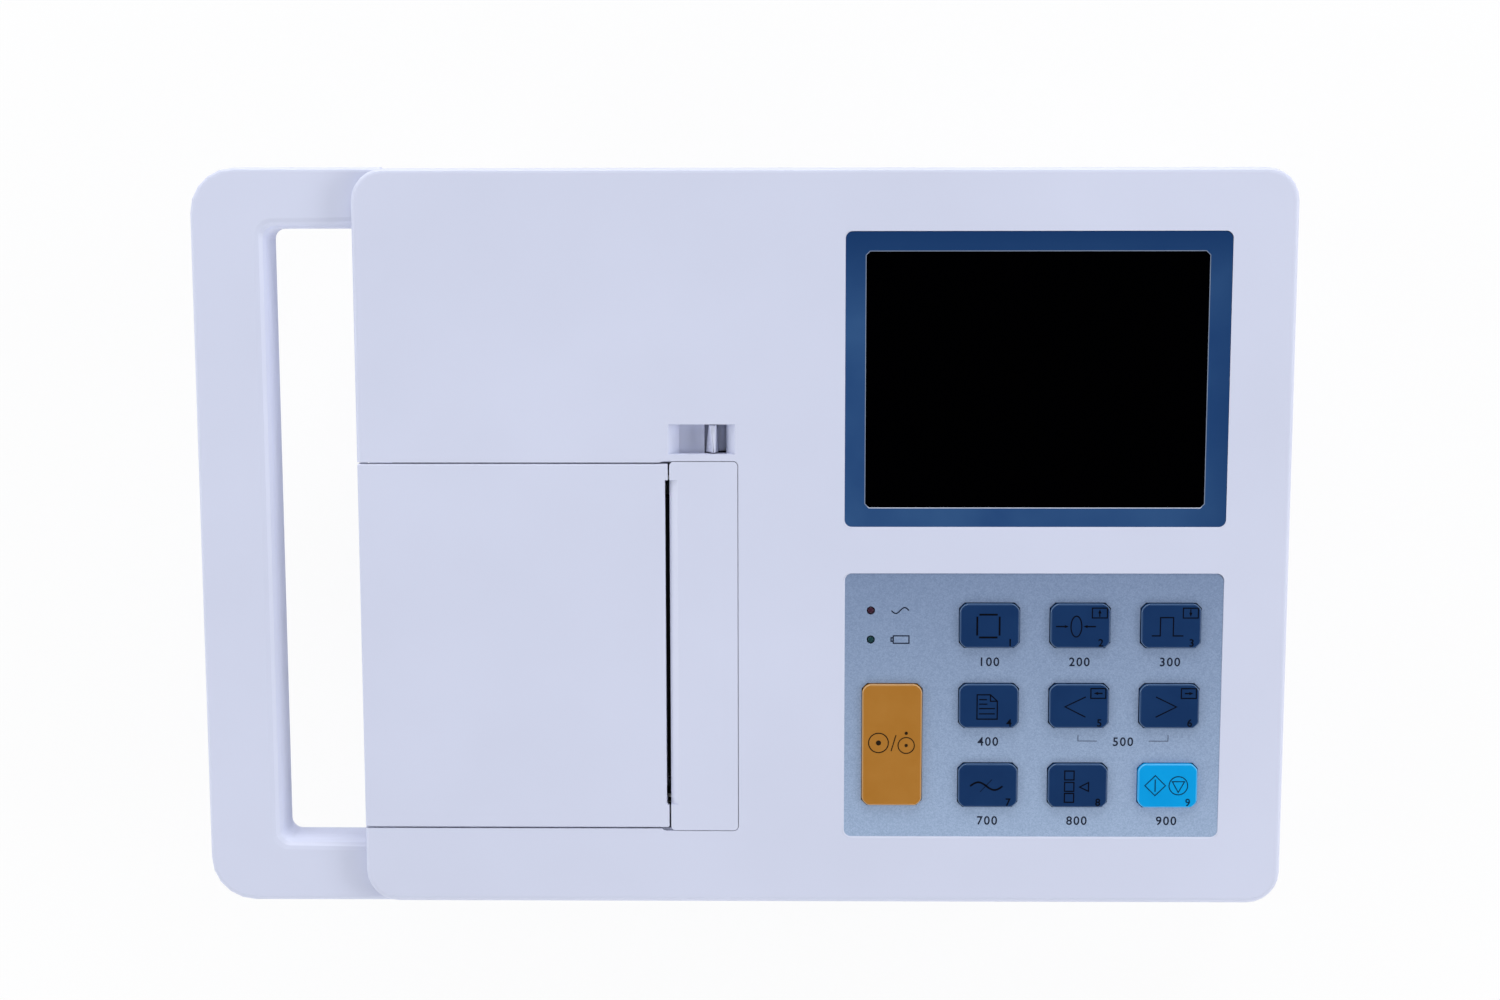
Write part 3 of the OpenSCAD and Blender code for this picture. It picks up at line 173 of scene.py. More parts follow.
# %% Light the room
WALL_LIGHT, CEILING_LIGHT = 0.72, 0.27
WALL_TOP, CEILING_FROM = 0.1, 0.95
world = bpy.data.worlds.new("studio")
bpy.context.scene.world = world
tree = tree_of(world)
way = add(tree, "ShaderNodeTexCoord").outputs["Generated"]
height = add(tree, "ShaderNodeSeparateXYZ", {0: way}).outputs["Z"]
tent = add(tree, "ShaderNodeMapRange", {"Value": height, "From Min": WALL_TOP,
                                        "From Max": CEILING_FROM, "To Min": WALL_LIGHT,
                                        "To Max": CEILING_LIGHT}).outputs["Result"]
fill = add(tree, "ShaderNodeBackground", {"Color": (0.94, 0.965, 1.0, 1), "Strength": tent})
white = add(tree, "ShaderNodeBackground", {"Color": (1, 1, 1, 1), "Strength": 1.0})
mixed = add(tree, "ShaderNodeMixShader", {0: sees_studio(tree), 1: fill.outputs[0],
                                          2: white.outputs[0]})
add(tree, "ShaderNodeOutputWorld", {"Surface": mixed.outputs[0]})
print("room light from", CEILING_LIGHT, "to", WALL_LIGHT)

# %% Hang the lamps
def soft_box(name, turn, height, distance, width, watts):
    """Long area lamp at a bearing and a height angle in degrees, aimed at the machine."""
    data = bpy.data.lights.new(name, "AREA")
    data.shape, data.size, data.size_y = "RECTANGLE", width, LAMP_DEPTH
    data.energy = watts
    lamp = bpy.data.objects.new(name, data)
    turn, height = math.radians(turn), math.radians(height)
    way = Vector((math.sin(turn) * math.cos(height), math.cos(turn) * math.cos(height),
                  math.sin(height)))
    lamp.location = way * distance
    lamp.rotation_euler = way.to_track_quat("Z", "Y").to_euler()
    bpy.context.scene.collection.objects.link(lamp)
    return lamp


LAMP_DEPTH = 0.7
soft_box("rear_lamp", 0, 24, 2.6, 2.4, 46)
soft_box("front_lamp", 180, 24, 2.6, 2.0, 20)
soft_box("left_lamp", -92, 26, 2.4, 1.6, 19)
soft_box("right_lamp", 92, 26, 2.4, 1.6, 23)
bpy.context.scene.view_settings.view_transform = "Standard"

# %% [markdown]
# ## Shared surface effects
# Several finishes need the same ingredients: the fine grain of a spark-eroded mould, soft
# dust and painted shade in the corners, the lines of rolled steel. Each is a node group,
# built once, which puts out only values; the shader itself stays in each material.

# %% A helper for node groups
def new_group(name, inputs, outputs):
    """Node group with float inputs {name: default} and outputs {name: socket type}."""
    group = bpy.data.node_groups.new(name, "ShaderNodeTree")
    for key, value in inputs.items():
        socket = group.interface.new_socket(key, in_out="INPUT", socket_type="NodeSocketFloat")
        socket.default_value = value
    for key, kind in outputs.items():
        group.interface.new_socket(key, in_out="OUTPUT", socket_type=kind)
    return group, group.nodes.new("NodeGroupInput"), group.nodes.new("NodeGroupOutput")


def maths(tree, operation, a, b=0.0, clamp=False):
    """Output of a Math node; a and b are numbers or sockets."""
    return add(tree, "ShaderNodeMath", {0: a, 1: b}, operation=operation, use_clamp=clamp).outputs[0]


def ramp(tree, value, low, high, to_low=0.0, to_high=1.0):
    """Value stretched from low..high to to_low..to_high, clamped."""
    return add(tree, "ShaderNodeMapRange", {"Value": value, "From Min": low, "From Max": high,
                                            "To Min": to_low, "To Max": to_high}).outputs["Result"]


def object_spot(tree):
    """Place of a shading point in the part's own space."""
    return add(tree, "ShaderNodeTexCoord").outputs["Object"]


def noise(tree, vector, scale, detail=2.0, roughness=0.5):
    """Value of a noise texture."""
    return add(tree, "ShaderNodeTexNoise", {"Vector": vector, "Scale": scale, "Detail": detail,
                                            "Roughness": roughness}).outputs["Fac"]


# %% Mould grain
FLOAT = "NodeSocketFloat"
grain_group, g_in, g_out = new_group("mould_grain", {"Grains per metre": 2200.0, "Blotches": 14.0},
                                     {"Height": FLOAT, "Blotch": FLOAT})
spot = object_spot(grain_group)
fine = noise(grain_group, spot, g_in.outputs["Grains per metre"], 3.0, 0.6)
broad = noise(grain_group, spot, g_in.outputs["Blotches"], 3.0, 0.55)
grain_group.links.new(fine, g_out.inputs["Height"])
grain_group.links.new(ramp(grain_group, broad, 0.3, 0.7), g_out.inputs["Blotch"])
print("group", grain_group.name)

# %% [markdown]
# ### Dust and painted shade, lines, polish and sparkle
# Corners that ambient occlusion finds are tinted: partly dust where a cloth doesn't reach,
# partly painted shade. Rolled and turned metal has lines that run one way, which is noise
# drawn out along one axis. Hands polish an edge first: a face turned half-way between the
# deck and the walls is such an edge, and the mask is highest there; on the keys the same
# mask also paints the edges paler, a painted highlight. Its normal is the part's own, so the
# polish stays with a door that opens. Metallic ink sparkles flake by flake, so a cell
# pattern gives each its tone.

# %% Dust and painted shade that gather in corners
dust_and_shade_group, g_in, g_out = new_group("corner_dust_and_shade", {"Reach": 0.0015, "Amount": 0.5}, {"Dust_and_shade": FLOAT})
# Partly dust and partly painted shade: corners and recesses that ambient occlusion finds get the tint
shade = add(dust_and_shade_group, "ShaderNodeAmbientOcclusion", {"Distance": g_in.outputs["Reach"]}, samples=6)
spot = object_spot(dust_and_shade_group)
patchy = ramp(dust_and_shade_group, noise(dust_and_shade_group, spot, 160.0), 0.25, 0.75, 0.4, 1.0)
closed = maths(dust_and_shade_group, "SUBTRACT", 1.0, shade.outputs["AO"])
dust_and_shade = maths(dust_and_shade_group, "MULTIPLY", maths(dust_and_shade_group, "MULTIPLY", closed, patchy),
             g_in.outputs["Amount"], clamp=True)
dust_and_shade_group.links.new(dust_and_shade, g_out.inputs["Dust_and_shade"])
print("group", dust_and_shade_group.name)

# %% Lines left by rolling or turning
line_group, g_in, g_out = new_group("rolled_lines", {"Along": 40.0, "Across": 2600.0},
                                    {"Height": FLOAT, "Tone": FLOAT})
spot = object_spot(line_group)
stretch = add(line_group, "ShaderNodeCombineXYZ", {"X": g_in.outputs["Across"],
                                                   "Y": g_in.outputs["Along"],
                                                   "Z": g_in.outputs["Across"]}).outputs[0]
drawn = add(line_group, "ShaderNodeVectorMath", {0: spot, 1: stretch}, operation="MULTIPLY").outputs[0]
lines = noise(line_group, drawn, 1.0, 2.0)
line_group.links.new(lines, g_out.inputs["Height"])
line_group.links.new(ramp(line_group, lines, 0.3, 0.7), g_out.inputs["Tone"])
print("group", line_group.name)

# %% Polish along the edges of the deck, whose mask also paints a highlight on the keys
polish_and_highlight_group, g_in, g_out = new_group("edge_polish_and_highlight", {"Amount": 0.8}, {"Polish_and_highlight": FLOAT})
facing = add(polish_and_highlight_group, "ShaderNodeTexCoord").outputs["Normal"]
upright = add(polish_and_highlight_group, "ShaderNodeVectorMath", {0: facing, 1: tuple(deck_up)},
              operation="DOT_PRODUCT").outputs["Value"]
upright = maths(polish_and_highlight_group, "ABSOLUTE", upright)
between = maths(polish_and_highlight_group, "MULTIPLY", upright, maths(polish_and_highlight_group, "SUBTRACT", 1.0, upright))
polish = maths(polish_and_highlight_group, "MULTIPLY", ramp(polish_and_highlight_group, between, 0.02, 0.2),
               g_in.outputs["Amount"], clamp=True)
polish_and_highlight_group.links.new(polish, g_out.inputs["Polish_and_highlight"])
print("group", polish_and_highlight_group.name)

# %% Sparkle of metallic paint
spark_group, g_in, g_out = new_group("metal_sparkle", {"Flakes per metre": 3200.0},
                                     {"Sparkle": FLOAT, "Height": FLOAT})
spot = object_spot(spark_group)
flakes = add(spark_group, "ShaderNodeTexVoronoi", {"Vector": spot,
                                                   "Scale": g_in.outputs["Flakes per metre"]})
tone = add(spark_group, "ShaderNodeSeparateColor", {0: flakes.outputs["Color"]}).outputs[0]
cloud = noise(spark_group, spot, 900.0, 3.0, 0.7)
mixed_tone = maths(spark_group, "ADD", maths(spark_group, "MULTIPLY", tone, 0.65),
                   maths(spark_group, "MULTIPLY", cloud, 0.35))
spark_group.links.new(mixed_tone, g_out.inputs["Sparkle"])
spark_group.links.new(tone, g_out.inputs["Height"])
print("group", spark_group.name)

# %% [markdown]
# ## Materials
# One Principled shader can stand for every finish here. A small function lays the base
# colour, darkens or lightens it with masks from the groups, and adds a bump; each slot of
# the record then gets its own values, so that grain and gloss differ from part to part.

# %% The function that lays a finish
def use_group(tree, group, **inputs):
    """Group node with its input values, written with _ for each space."""
    node = add(tree, "ShaderNodeGroup", node_tree=group)
    for key, value in inputs.items():
        node.inputs[key.replace("_", " ")].default_value = value
    return node


# Mix nodes hold one set of sockets for each data type, so the colour ones go by identifier
def tint(tree, factor, base, other):
    """Colour between base and other by a factor."""
    mix = add(tree, "ShaderNodeMix", data_type="RGBA")
    named = {socket.identifier: socket for socket in mix.inputs}
    for key, value in (("Factor_Float", factor), ("A_Color", base), ("B_Color", other)):
        if isinstance(value, bpy.types.NodeSocket):
            tree.links.new(value, named[key])
        elif key == "Factor_Float":
            named[key].default_value = value
        else:
            named[key].default_value = (*value[:3], 1)
    return next(s for s in mix.outputs if s.identifier == "Result_Color")


def finish(name, colour, roughness, metallic=0.0, bump=0.0, bump_size=0.00002, height=None,
           polish=None, **shader):
    """Material with a Principled shader; colour, roughness and height may be sockets."""
    material, tree = name if isinstance(name, tuple) else start(name)
    principled = add(tree, "ShaderNodeBsdfPrincipled", {"Metallic": metallic})
    if isinstance(colour, bpy.types.NodeSocket):
        tree.links.new(colour, principled.inputs["Base Color"])
    else:
        principled.inputs["Base Color"].default_value = (*colour, 1)
    if isinstance(roughness, bpy.types.NodeSocket):
        tree.links.new(roughness, principled.inputs["Roughness"])
    else:
        principled.inputs["Roughness"].default_value = roughness
    if height is not None:
        bumped = add(tree, "ShaderNodeBump", {"Height": height, "Strength": bump,
                                              "Distance": bump_size})
        tree.links.new(bumped.outputs[0], principled.inputs["Normal"])
    if polish is not None:
        edges = use_group(tree, polish_and_highlight_group, Amount=polish)
        tree.links.new(edges.outputs["Polish_and_highlight"], principled.inputs["Coat Weight"])
        principled.inputs["Coat Roughness"].default_value = POLISH_ROUGHNESS
    for key, value in shader.items():
        principled.inputs[key.replace("_", " ")].default_value = value
    add(tree, "ShaderNodeOutputMaterial", {"Surface": principled.outputs[0]})
    return material


def start(name):
    """New material with an empty tree."""
    material = bpy.data.materials.new(name)
    return material, tree_of(material)


POLISH_ROUGHNESS = 0.4
materials = {}
print("ready to lay finishes")

# %% [markdown]
# ### Moulded plastics
# The case is ABS from a spark-eroded mould: matt, with a grain of about half a millimetre
# and a grey tint in its corners where fingers and cloths don't reach, partly dust and partly
# painted shade. The inner mouldings are smoother and greyer, because nobody polishes a mould
# for what doesn't show.

# %% Case, inner and black plastics
def moulded(name, colour, roughness, grain=2200.0, depth=0.25, dust_and_shade_amount=0.35,
            dust_and_shade_colour=(0.30, 0.30, 0.33), polish=0.4):
    """Moulded plastic with grain, faint blotches, and dust and painted shade in its corners."""
    material, tree = start(name)
    grain_node = use_group(tree, grain_group, Grains_per_metre=grain)
    dust_and_shade_node = use_group(tree, dust_and_shade_group, Amount=dust_and_shade_amount)
    darker = tuple(c * 0.955 for c in colour)
    body = tint(tree, grain_node.outputs["Blotch"], colour, darker)
    # Corners found by ambient occlusion are tinted: partly dust, partly painted shade
    body = tint(tree, dust_and_shade_node.outputs["Dust_and_shade"], body, dust_and_shade_colour)
    rough = ramp(tree, grain_node.outputs["Blotch"], 0, 1, roughness - 0.05, roughness + 0.06)
    return finish((material, tree), body, rough, bump=depth, bump_size=0.00003, polish=polish,
                  height=grain_node.outputs["Height"], Specular_IOR_Level=0.4)


CASE_COLOUR = (0.625, 0.655, 0.805)
materials["case_plastic"] = moulded("case_plastic", CASE_COLOUR, 0.46)
lid_plastic = moulded("lid_plastic", CASE_COLOUR, 0.46, polish=1.0)
materials["inner_plastic"] = moulded("inner_plastic", (0.40, 0.42, 0.47), 0.4, depth=0.12, dust_and_shade_amount=0.5)
materials["black_plastic"] = moulded("black_plastic", (0.018, 0.018, 0.02), 0.42, depth=0.2,
                                     dust_and_shade_amount=0.3, dust_and_shade_colour=(0.06, 0.06, 0.06))
print(sorted(materials))

# %% [markdown]
# ### Keys and overlay
# The overlay is a film printed with metallic ink, so it sparkles in a fine, even way; its
# colour is also painted darker towards the rear, a painted shade. The keys are satin plastic
# with polished edges, painted paler there as a painted highlight. The film, the window and
# the lamps differ from place to place, so a helper turns the part's space into the deck's.

# %% A helper that finds the deck from inside a material
def on_deck(tree, origin=deck_origin):
    """Separate node with a shading point's place along the deck's axes, from an origin."""
    moved = add(tree, "ShaderNodeVectorMath", {0: object_spot(tree), 1: tuple(origin)},
                operation="SUBTRACT").outputs[0]
    turned = add(tree, "ShaderNodeVectorRotate", {"Vector": moved, "Axis": (1, 0, 0),
                                                  "Angle": -deck_slope})
    return add(tree, "ShaderNodeSeparateXYZ", {0: turned.outputs[0]})


print("deck axes ready for the shaders")

# %% Satin keys with a painted edge highlight, and metallic overlay
def satin(name, colour, light, edge_highlight_colour, roughness=0.42):
    """Satin plastic over fine grain, with its edges painted paler as a painted highlight."""
    material, tree = start(name)
    grain_node = use_group(tree, grain_group, Grains_per_metre=3200.0, Blotches=90.0)
    body = tint(tree, grain_node.outputs["Blotch"], colour, light)
    # Painted highlight: the edge mask tints the key's edges towards a paler colour
    painted_edge_highlight = use_group(tree, polish_and_highlight_group, Amount=0.8).outputs["Polish_and_highlight"]
    body = tint(tree, painted_edge_highlight, body, edge_highlight_colour)
    return finish((material, tree), body, roughness, bump=0.15, polish=1.0,
                  height=grain_node.outputs["Height"], Specular_IOR_Level=0.06)


# The third colour of each key is the paler tone of its painted edge highlight
materials["key_plastic"] = satin("key_plastic", (0.0060, 0.028, 0.098), (0.0075, 0.033, 0.110),
                                 (0.07, 0.14, 0.26))
materials["run_key_plastic"] = satin("run_key_plastic", (0.002, 0.305, 0.70), (0.003, 0.335, 0.74),
                                     (0.12, 0.50, 0.82))
materials["power_key_plastic"] = satin("power_key_plastic", (0.375, 0.158, 0.024),
                                       (0.405, 0.178, 0.032), (0.60, 0.40, 0.20))

# The film is painted darker towards its rear edge and lighter towards the front: painted
# shade at the rear and a painted sheen in front, across the metallic film.
material, tree = start("overlay_film")
spark = use_group(tree, spark_group)
low, high = deck_box("keypad_overlay")
place = on_deck(tree)
painted_shade_to_rear = ramp(tree, place.outputs["Y"], high.y, low.y)
# dark and light are shaded and lit copies of the film's colour
dark = tint(tree, spark.outputs["Sparkle"], (0.144, 0.203, 0.329), (0.225, 0.298, 0.452))
light = tint(tree, spark.outputs["Sparkle"], (0.251, 0.340, 0.495), (0.369, 0.471, 0.653))
body = tint(tree, painted_shade_to_rear, dark, light)
materials["overlay_film"] = finish((material, tree), body, 0.42, metallic=0.25, bump=0.08,
                                   height=spark.outputs["Height"], Specular_IOR_Level=0.2)
print(sorted(materials))

# %% [markdown]
# ### Display window
# A sheet of acrylic whose back is printed: blue round the display, clear over it. The
# display is off, so the clear part reads as black. Round its opening a thin bright line is
# painted into the colour, a painted highlight of the lit cut rim of the bezel, brightest
# along the front; the blue is painted darker towards the rear and the right, a painted
# shade. Distances to the opening's sides draw all three.
# Its front is hard and smooth, and has no specular level, as with a coat against glare.

# %% Blue border with painted shade, painted bright line and black view
VIEW_LINE, CORNER_CUT, CORNER_STEEP = 0.2 * MM, 1.1 * MM, 0.75
BORDER_LOW, BORDER_HIGH = Vector((6.35, 6.05, 0)) * MM, Vector((6.5, 5.8, 0)) * MM
low, high = deck_box("display_window")
view_low, view_high = low + BORDER_LOW, high - BORDER_HIGH
view_middle, view_half = (view_low + view_high) / 2, (view_high - view_low) / 2


def past_edge(tree, value, middle, half):
    """How far a value lies outside middle - half to middle + half; negative inside."""
    return maths(tree, "SUBTRACT", maths(tree, "ABSOLUTE", maths(tree, "SUBTRACT", value, middle)), half)


material, tree = start("window_acrylic")
place = on_deck(tree)
from_side = past_edge(tree, place.outputs["X"], view_middle.x, view_half.x)
from_end = past_edge(tree, place.outputs["Y"], view_middle.y, view_half.y)
corner = maths(tree, "MULTIPLY", CORNER_STEEP,
               maths(tree, "ADD", maths(tree, "ADD", from_side, from_end), CORNER_CUT))
outside = maths(tree, "MAXIMUM", maths(tree, "MAXIMUM", from_side, from_end), corner)
border = ramp(tree, outside, VIEW_LINE, VIEW_LINE * 1.1)
# Painted highlight: a bright ring round the view stands for the lit cut rim of the bezel
line = maths(tree, "SUBTRACT", ramp(tree, outside, 0.0, VIEW_LINE * 0.1), border)
smear = use_group(tree, grain_group, Grains_per_metre=60.0, Blotches=35.0)
blue = tint(tree, smear.outputs["Blotch"], (0.019, 0.060, 0.175), (0.032, 0.088, 0.215))
# Painted shade: the blue is darker towards the rear and the right
REAR_SHADE_REACH, RIGHT_SHADE_REACH = 20 * MM, 10 * MM
painted_shade_rear = ramp(tree, place.outputs["Y"], view_high.y - REAR_SHADE_REACH, high.y)
painted_shade_right = ramp(tree, place.outputs["X"], view_high.x - RIGHT_SHADE_REACH, high.x, 0.0, 0.6)
blue = tint(tree, maths(tree, "MAXIMUM", painted_shade_rear, painted_shade_right), blue, (0.0105, 0.040, 0.130))
body = tint(tree, border, (0.0002, 0.0002, 0.0004), blue)
# Painted highlight: the bright line is brightest along the front side
painted_front_highlight = ramp(tree, place.outputs["Y"], view_low.y + 0.5 * MM, view_low.y)
body = tint(tree, line, body, tint(tree, painted_front_highlight, (0.22, 0.27, 0.37), (0.68, 0.72, 0.86)))
rough = ramp(tree, smear.outputs["Blotch"], 0, 1, 0.04, 0.10)
materials["window_acrylic"] = finish((material, tree), body, rough, Specular_IOR_Level=0.0)
print("view opening", round(view_half.x * 2000, 1), "by", round(view_half.y * 2000, 1), "mm")

# %% Display glass and lamp lenses
# The two lenses are one part: the rear lamp is red and the front one green.
materials["lcd_glass"] = finish("lcd_glass", (0.004, 0.004, 0.006), 0.08)
material, tree = start("led_lens")
low, high = deck_box("indicator_leds")
place = on_deck(tree)
rear = maths(tree, "GREATER_THAN", place.outputs["Y"], (low.y + high.y) / 2)
inner = ramp(tree, place.outputs["Z"], -1.2 * MM, 0.2 * MM)
glow = tint(tree, rear, (0.004, 0.040, 0.048), (0.040, 0.010, 0.026))
body = tint(tree, inner, (0.005, 0.005, 0.006), glow)
materials["led_lens"] = finish((material, tree), body, 0.12, Specular_IOR_Level=0.1)
print(sorted(materials))

# %% [markdown]
# ### Metals, rubber, paper and boards
# The recorder is made of rolled sheet, ground shafts, sintered bushes and acetal gears.
# They show when the door is open, and each has its own light: long streaks on the sheet,
# fine rings on the shafts, a waxy sheen on the gears.

# %% Metals
def metal(name, colour, roughness, along=40.0, across=2600.0, dark=0.75):
    """Metal with fine lines across its shine."""
    material, tree = start(name)
    lines_node = use_group(tree, line_group, Along=along, Across=across)
    shade = tuple(c * dark for c in colour)
    body = tint(tree, lines_node.outputs["Tone"], shade, colour)
    rough = ramp(tree, lines_node.outputs["Tone"], 0, 1, roughness + 0.08, roughness - 0.05)
    return finish((material, tree), body, rough, metallic=1.0, bump=0.1,
                  height=lines_node.outputs["Height"])


materials["sheet_steel"] = metal("sheet_steel", (0.60, 0.61, 0.63), 0.36)
materials["turned_steel"] = metal("turned_steel", (0.66, 0.66, 0.67), 0.24, along=2600, across=60)
materials["nickel"] = metal("nickel", (0.72, 0.70, 0.66), 0.18, along=400, across=400, dark=0.9)
materials["sintered_brass"] = metal("sintered_brass", (0.62, 0.46, 0.20), 0.42, 1500, 1500)
materials["head_aluminium"] = metal("head_aluminium", (0.74, 0.75, 0.77), 0.33)
print(sorted(materials))

# %% Rubber, ceramics, gears and wraps
def plain(name, colour, roughness, grain=1800.0, depth=0.2, vary=0.9, **shader):
    """Simple finish: one colour that varies slightly, with a fine grain."""
    material, tree = start(name)
    grain_node = use_group(tree, grain_group, Grains_per_metre=grain, Blotches=60.0)
    body = tint(tree, grain_node.outputs["Blotch"], colour, tuple(c * vary for c in colour))
    return finish((material, tree), body, roughness, bump=depth,
                  height=grain_node.outputs["Height"], **shader)


materials["platen_rubber"] = plain("platen_rubber", (0.022, 0.022, 0.024), 0.72, depth=0.5)
materials["head_ceramic"] = plain("head_ceramic", (0.74, 0.72, 0.66), 0.3, depth=0.05)
materials["gear_plastic"] = plain("gear_plastic", (0.80, 0.79, 0.72), 0.36, depth=0.05,
                                  Subsurface_Weight=0.1)
materials["battery_wrap"] = plain("battery_wrap", (0.02, 0.09, 0.26), 0.28, depth=0.1)
materials["core_card"] = plain("core_card", (0.44, 0.29, 0.15), 0.85, grain=900.0, depth=0.6)
print(sorted(materials))

# %% [markdown]
# ### Chart paper
# Recording paper carries a pale red grid: a fine line each millimetre and a bold one every
# five. On a roll the grid runs round the outside, so the angle about the roll's axis, times
# its radius, serves as the second coordinate; the end faces show the edges of the turns.

# %% Grid on the roll of paper
roll_axis = Vector(joints["roll_spin"]["pos_m"])
low, high = deck_box("paper_roll")
ROLL_RADIUS = (high.x - low.x) / 2
material, tree = start("chart_paper")
place = on_deck(tree, roll_axis)
angle = maths(tree, "ARCTAN2", place.outputs["Z"], place.outputs["X"])
around = maths(tree, "MULTIPLY", angle, ROLL_RADIUS)


def grid_line(tree, value, pitch, width):
    """1 on a line that repeats at a pitch."""
    step = maths(tree, "PINGPONG", maths(tree, "ADD", value, pitch * 200), pitch / 2)
    return ramp(tree, step, width / 2, width, 1.0, 0.0)


FINE_LINE, BOLD_LINE = 0.12 * MM, 0.3 * MM
fine_grid = maths(tree, "MAXIMUM", grid_line(tree, around, MM, FINE_LINE),
                  grid_line(tree, place.outputs["Y"], MM, FINE_LINE))
bold_grid = maths(tree, "MAXIMUM", grid_line(tree, around, 5 * MM, BOLD_LINE),
                  grid_line(tree, place.outputs["Y"], 5 * MM, BOLD_LINE))
ink = maths(tree, "MAXIMUM", maths(tree, "MULTIPLY", fine_grid, 0.45),
            maths(tree, "MULTIPLY", bold_grid, 0.85))
x2 = maths(tree, "POWER", place.outputs["X"], 2.0)
z2 = maths(tree, "POWER", place.outputs["Z"], 2.0)
radius = maths(tree, "SQRT", maths(tree, "ADD", x2, z2))
outside = maths(tree, "GREATER_THAN", radius, ROLL_RADIUS * 0.985)
turns = ramp(tree, noise(tree, add(tree, "ShaderNodeCombineXYZ", {"X": radius}).outputs[0], 9000.0, 1.0),
             0.35, 0.65, 0.86, 1.0)
paper = tint(tree, turns, (0.66, 0.60, 0.56), (0.90, 0.88, 0.85))
body = tint(tree, maths(tree, "MULTIPLY", ink, outside), paper, (0.86, 0.36, 0.36))
materials["chart_paper"] = finish((material, tree), body, 0.62, bump=0.2, height=turns)
print("roll radius", round(ROLL_RADIUS * 1000, 1), "mm")

# %% [markdown]
# ### Circuit boards and flat cable
# A board reads as a board by its tracks and pads under green lacquer. Rows of bright pads
# come from one cell pattern, and the tracks from a second, stretched one.

# %% Boards and ribbons
material, tree = start("circuit_board")
spot = object_spot(tree)
tracks = add(tree, "ShaderNodeTexBrick", {"Vector": spot, "Scale": 240.0, "Mortar Size": 0.04,
                                          "Color1": (0, 0, 0, 1), "Color2": (0, 0, 0, 1),
                                          "Mortar": (1, 1, 1, 1)}).outputs["Color"]
cells = add(tree, "ShaderNodeTexVoronoi", {"Vector": spot, "Scale": 260.0})
pads = ramp(tree, cells.outputs["Distance"], 0.14, 0.20, 1.0, 0.0)
track_tone = add(tree, "ShaderNodeSeparateColor", {0: tracks}).outputs[0]
body = tint(tree, track_tone, (0.008, 0.095, 0.035), (0.02, 0.20, 0.07))
body = tint(tree, pads, body, (0.62, 0.62, 0.58))
materials["circuit_board"] = finish((material, tree), body, 0.3, bump=0.2, height=track_tone)

HALF_CORE = 0.635 * MM
material, tree = start("ribbon")
place = add(tree, "ShaderNodeSeparateXYZ", {0: object_spot(tree)})
cores = maths(tree, "PINGPONG", maths(tree, "ADD", place.outputs["X"], 1.0), HALF_CORE)
tone = ramp(tree, cores, 0.0, HALF_CORE)
materials["ribbon"] = finish((material, tree), tint(tree, tone, (0.30, 0.30, 0.32), (0.56, 0.56, 0.58)),
                             0.5, bump=0.6, bump_size=0.0002, height=tone)
print(len(materials), "materials")

# %% [markdown]
# ### Material slots
# The frame's record names a material slot for each part, so a loop can hand them out. The
# door, the cover and the lever are handled most, so their edges get the full polish.

# %% Give every part its material
slot_of = {entry["node"]: entry["material_slot"] for entry in frame["record"]["subparts"]}
for name, part in nodes.items():
    part.data.materials.clear()
    part.data.materials.append(materials[slot_of[name]])
for name in ("paper_door", "printer_cover", "release_lever"):
    nodes[name].data.materials[0] = lid_plastic
print(len(slot_of), "parts have a finish")

# %% [markdown]
# ## Rounded edges
# No moulded edge is perfectly sharp, and the thin highlight along a rounded edge is what
# makes plastic look like plastic. The solids arrive as triangles with their faces split
# apart, which a bevel handles badly. So Weld joins the faces, Decimate merges triangles
# that lie in one plane, Bevel rounds what is left sharp, and Weighted Normal keeps flats
# flat. One width doesn't suit a whole part: a few geometry nodes give each edge its share.

# %% Give each sharp edge its share of the bevel
SHARP_EDGE, ROUND_FROM, RIM_DEPTH = 30, 32, 3 * MM


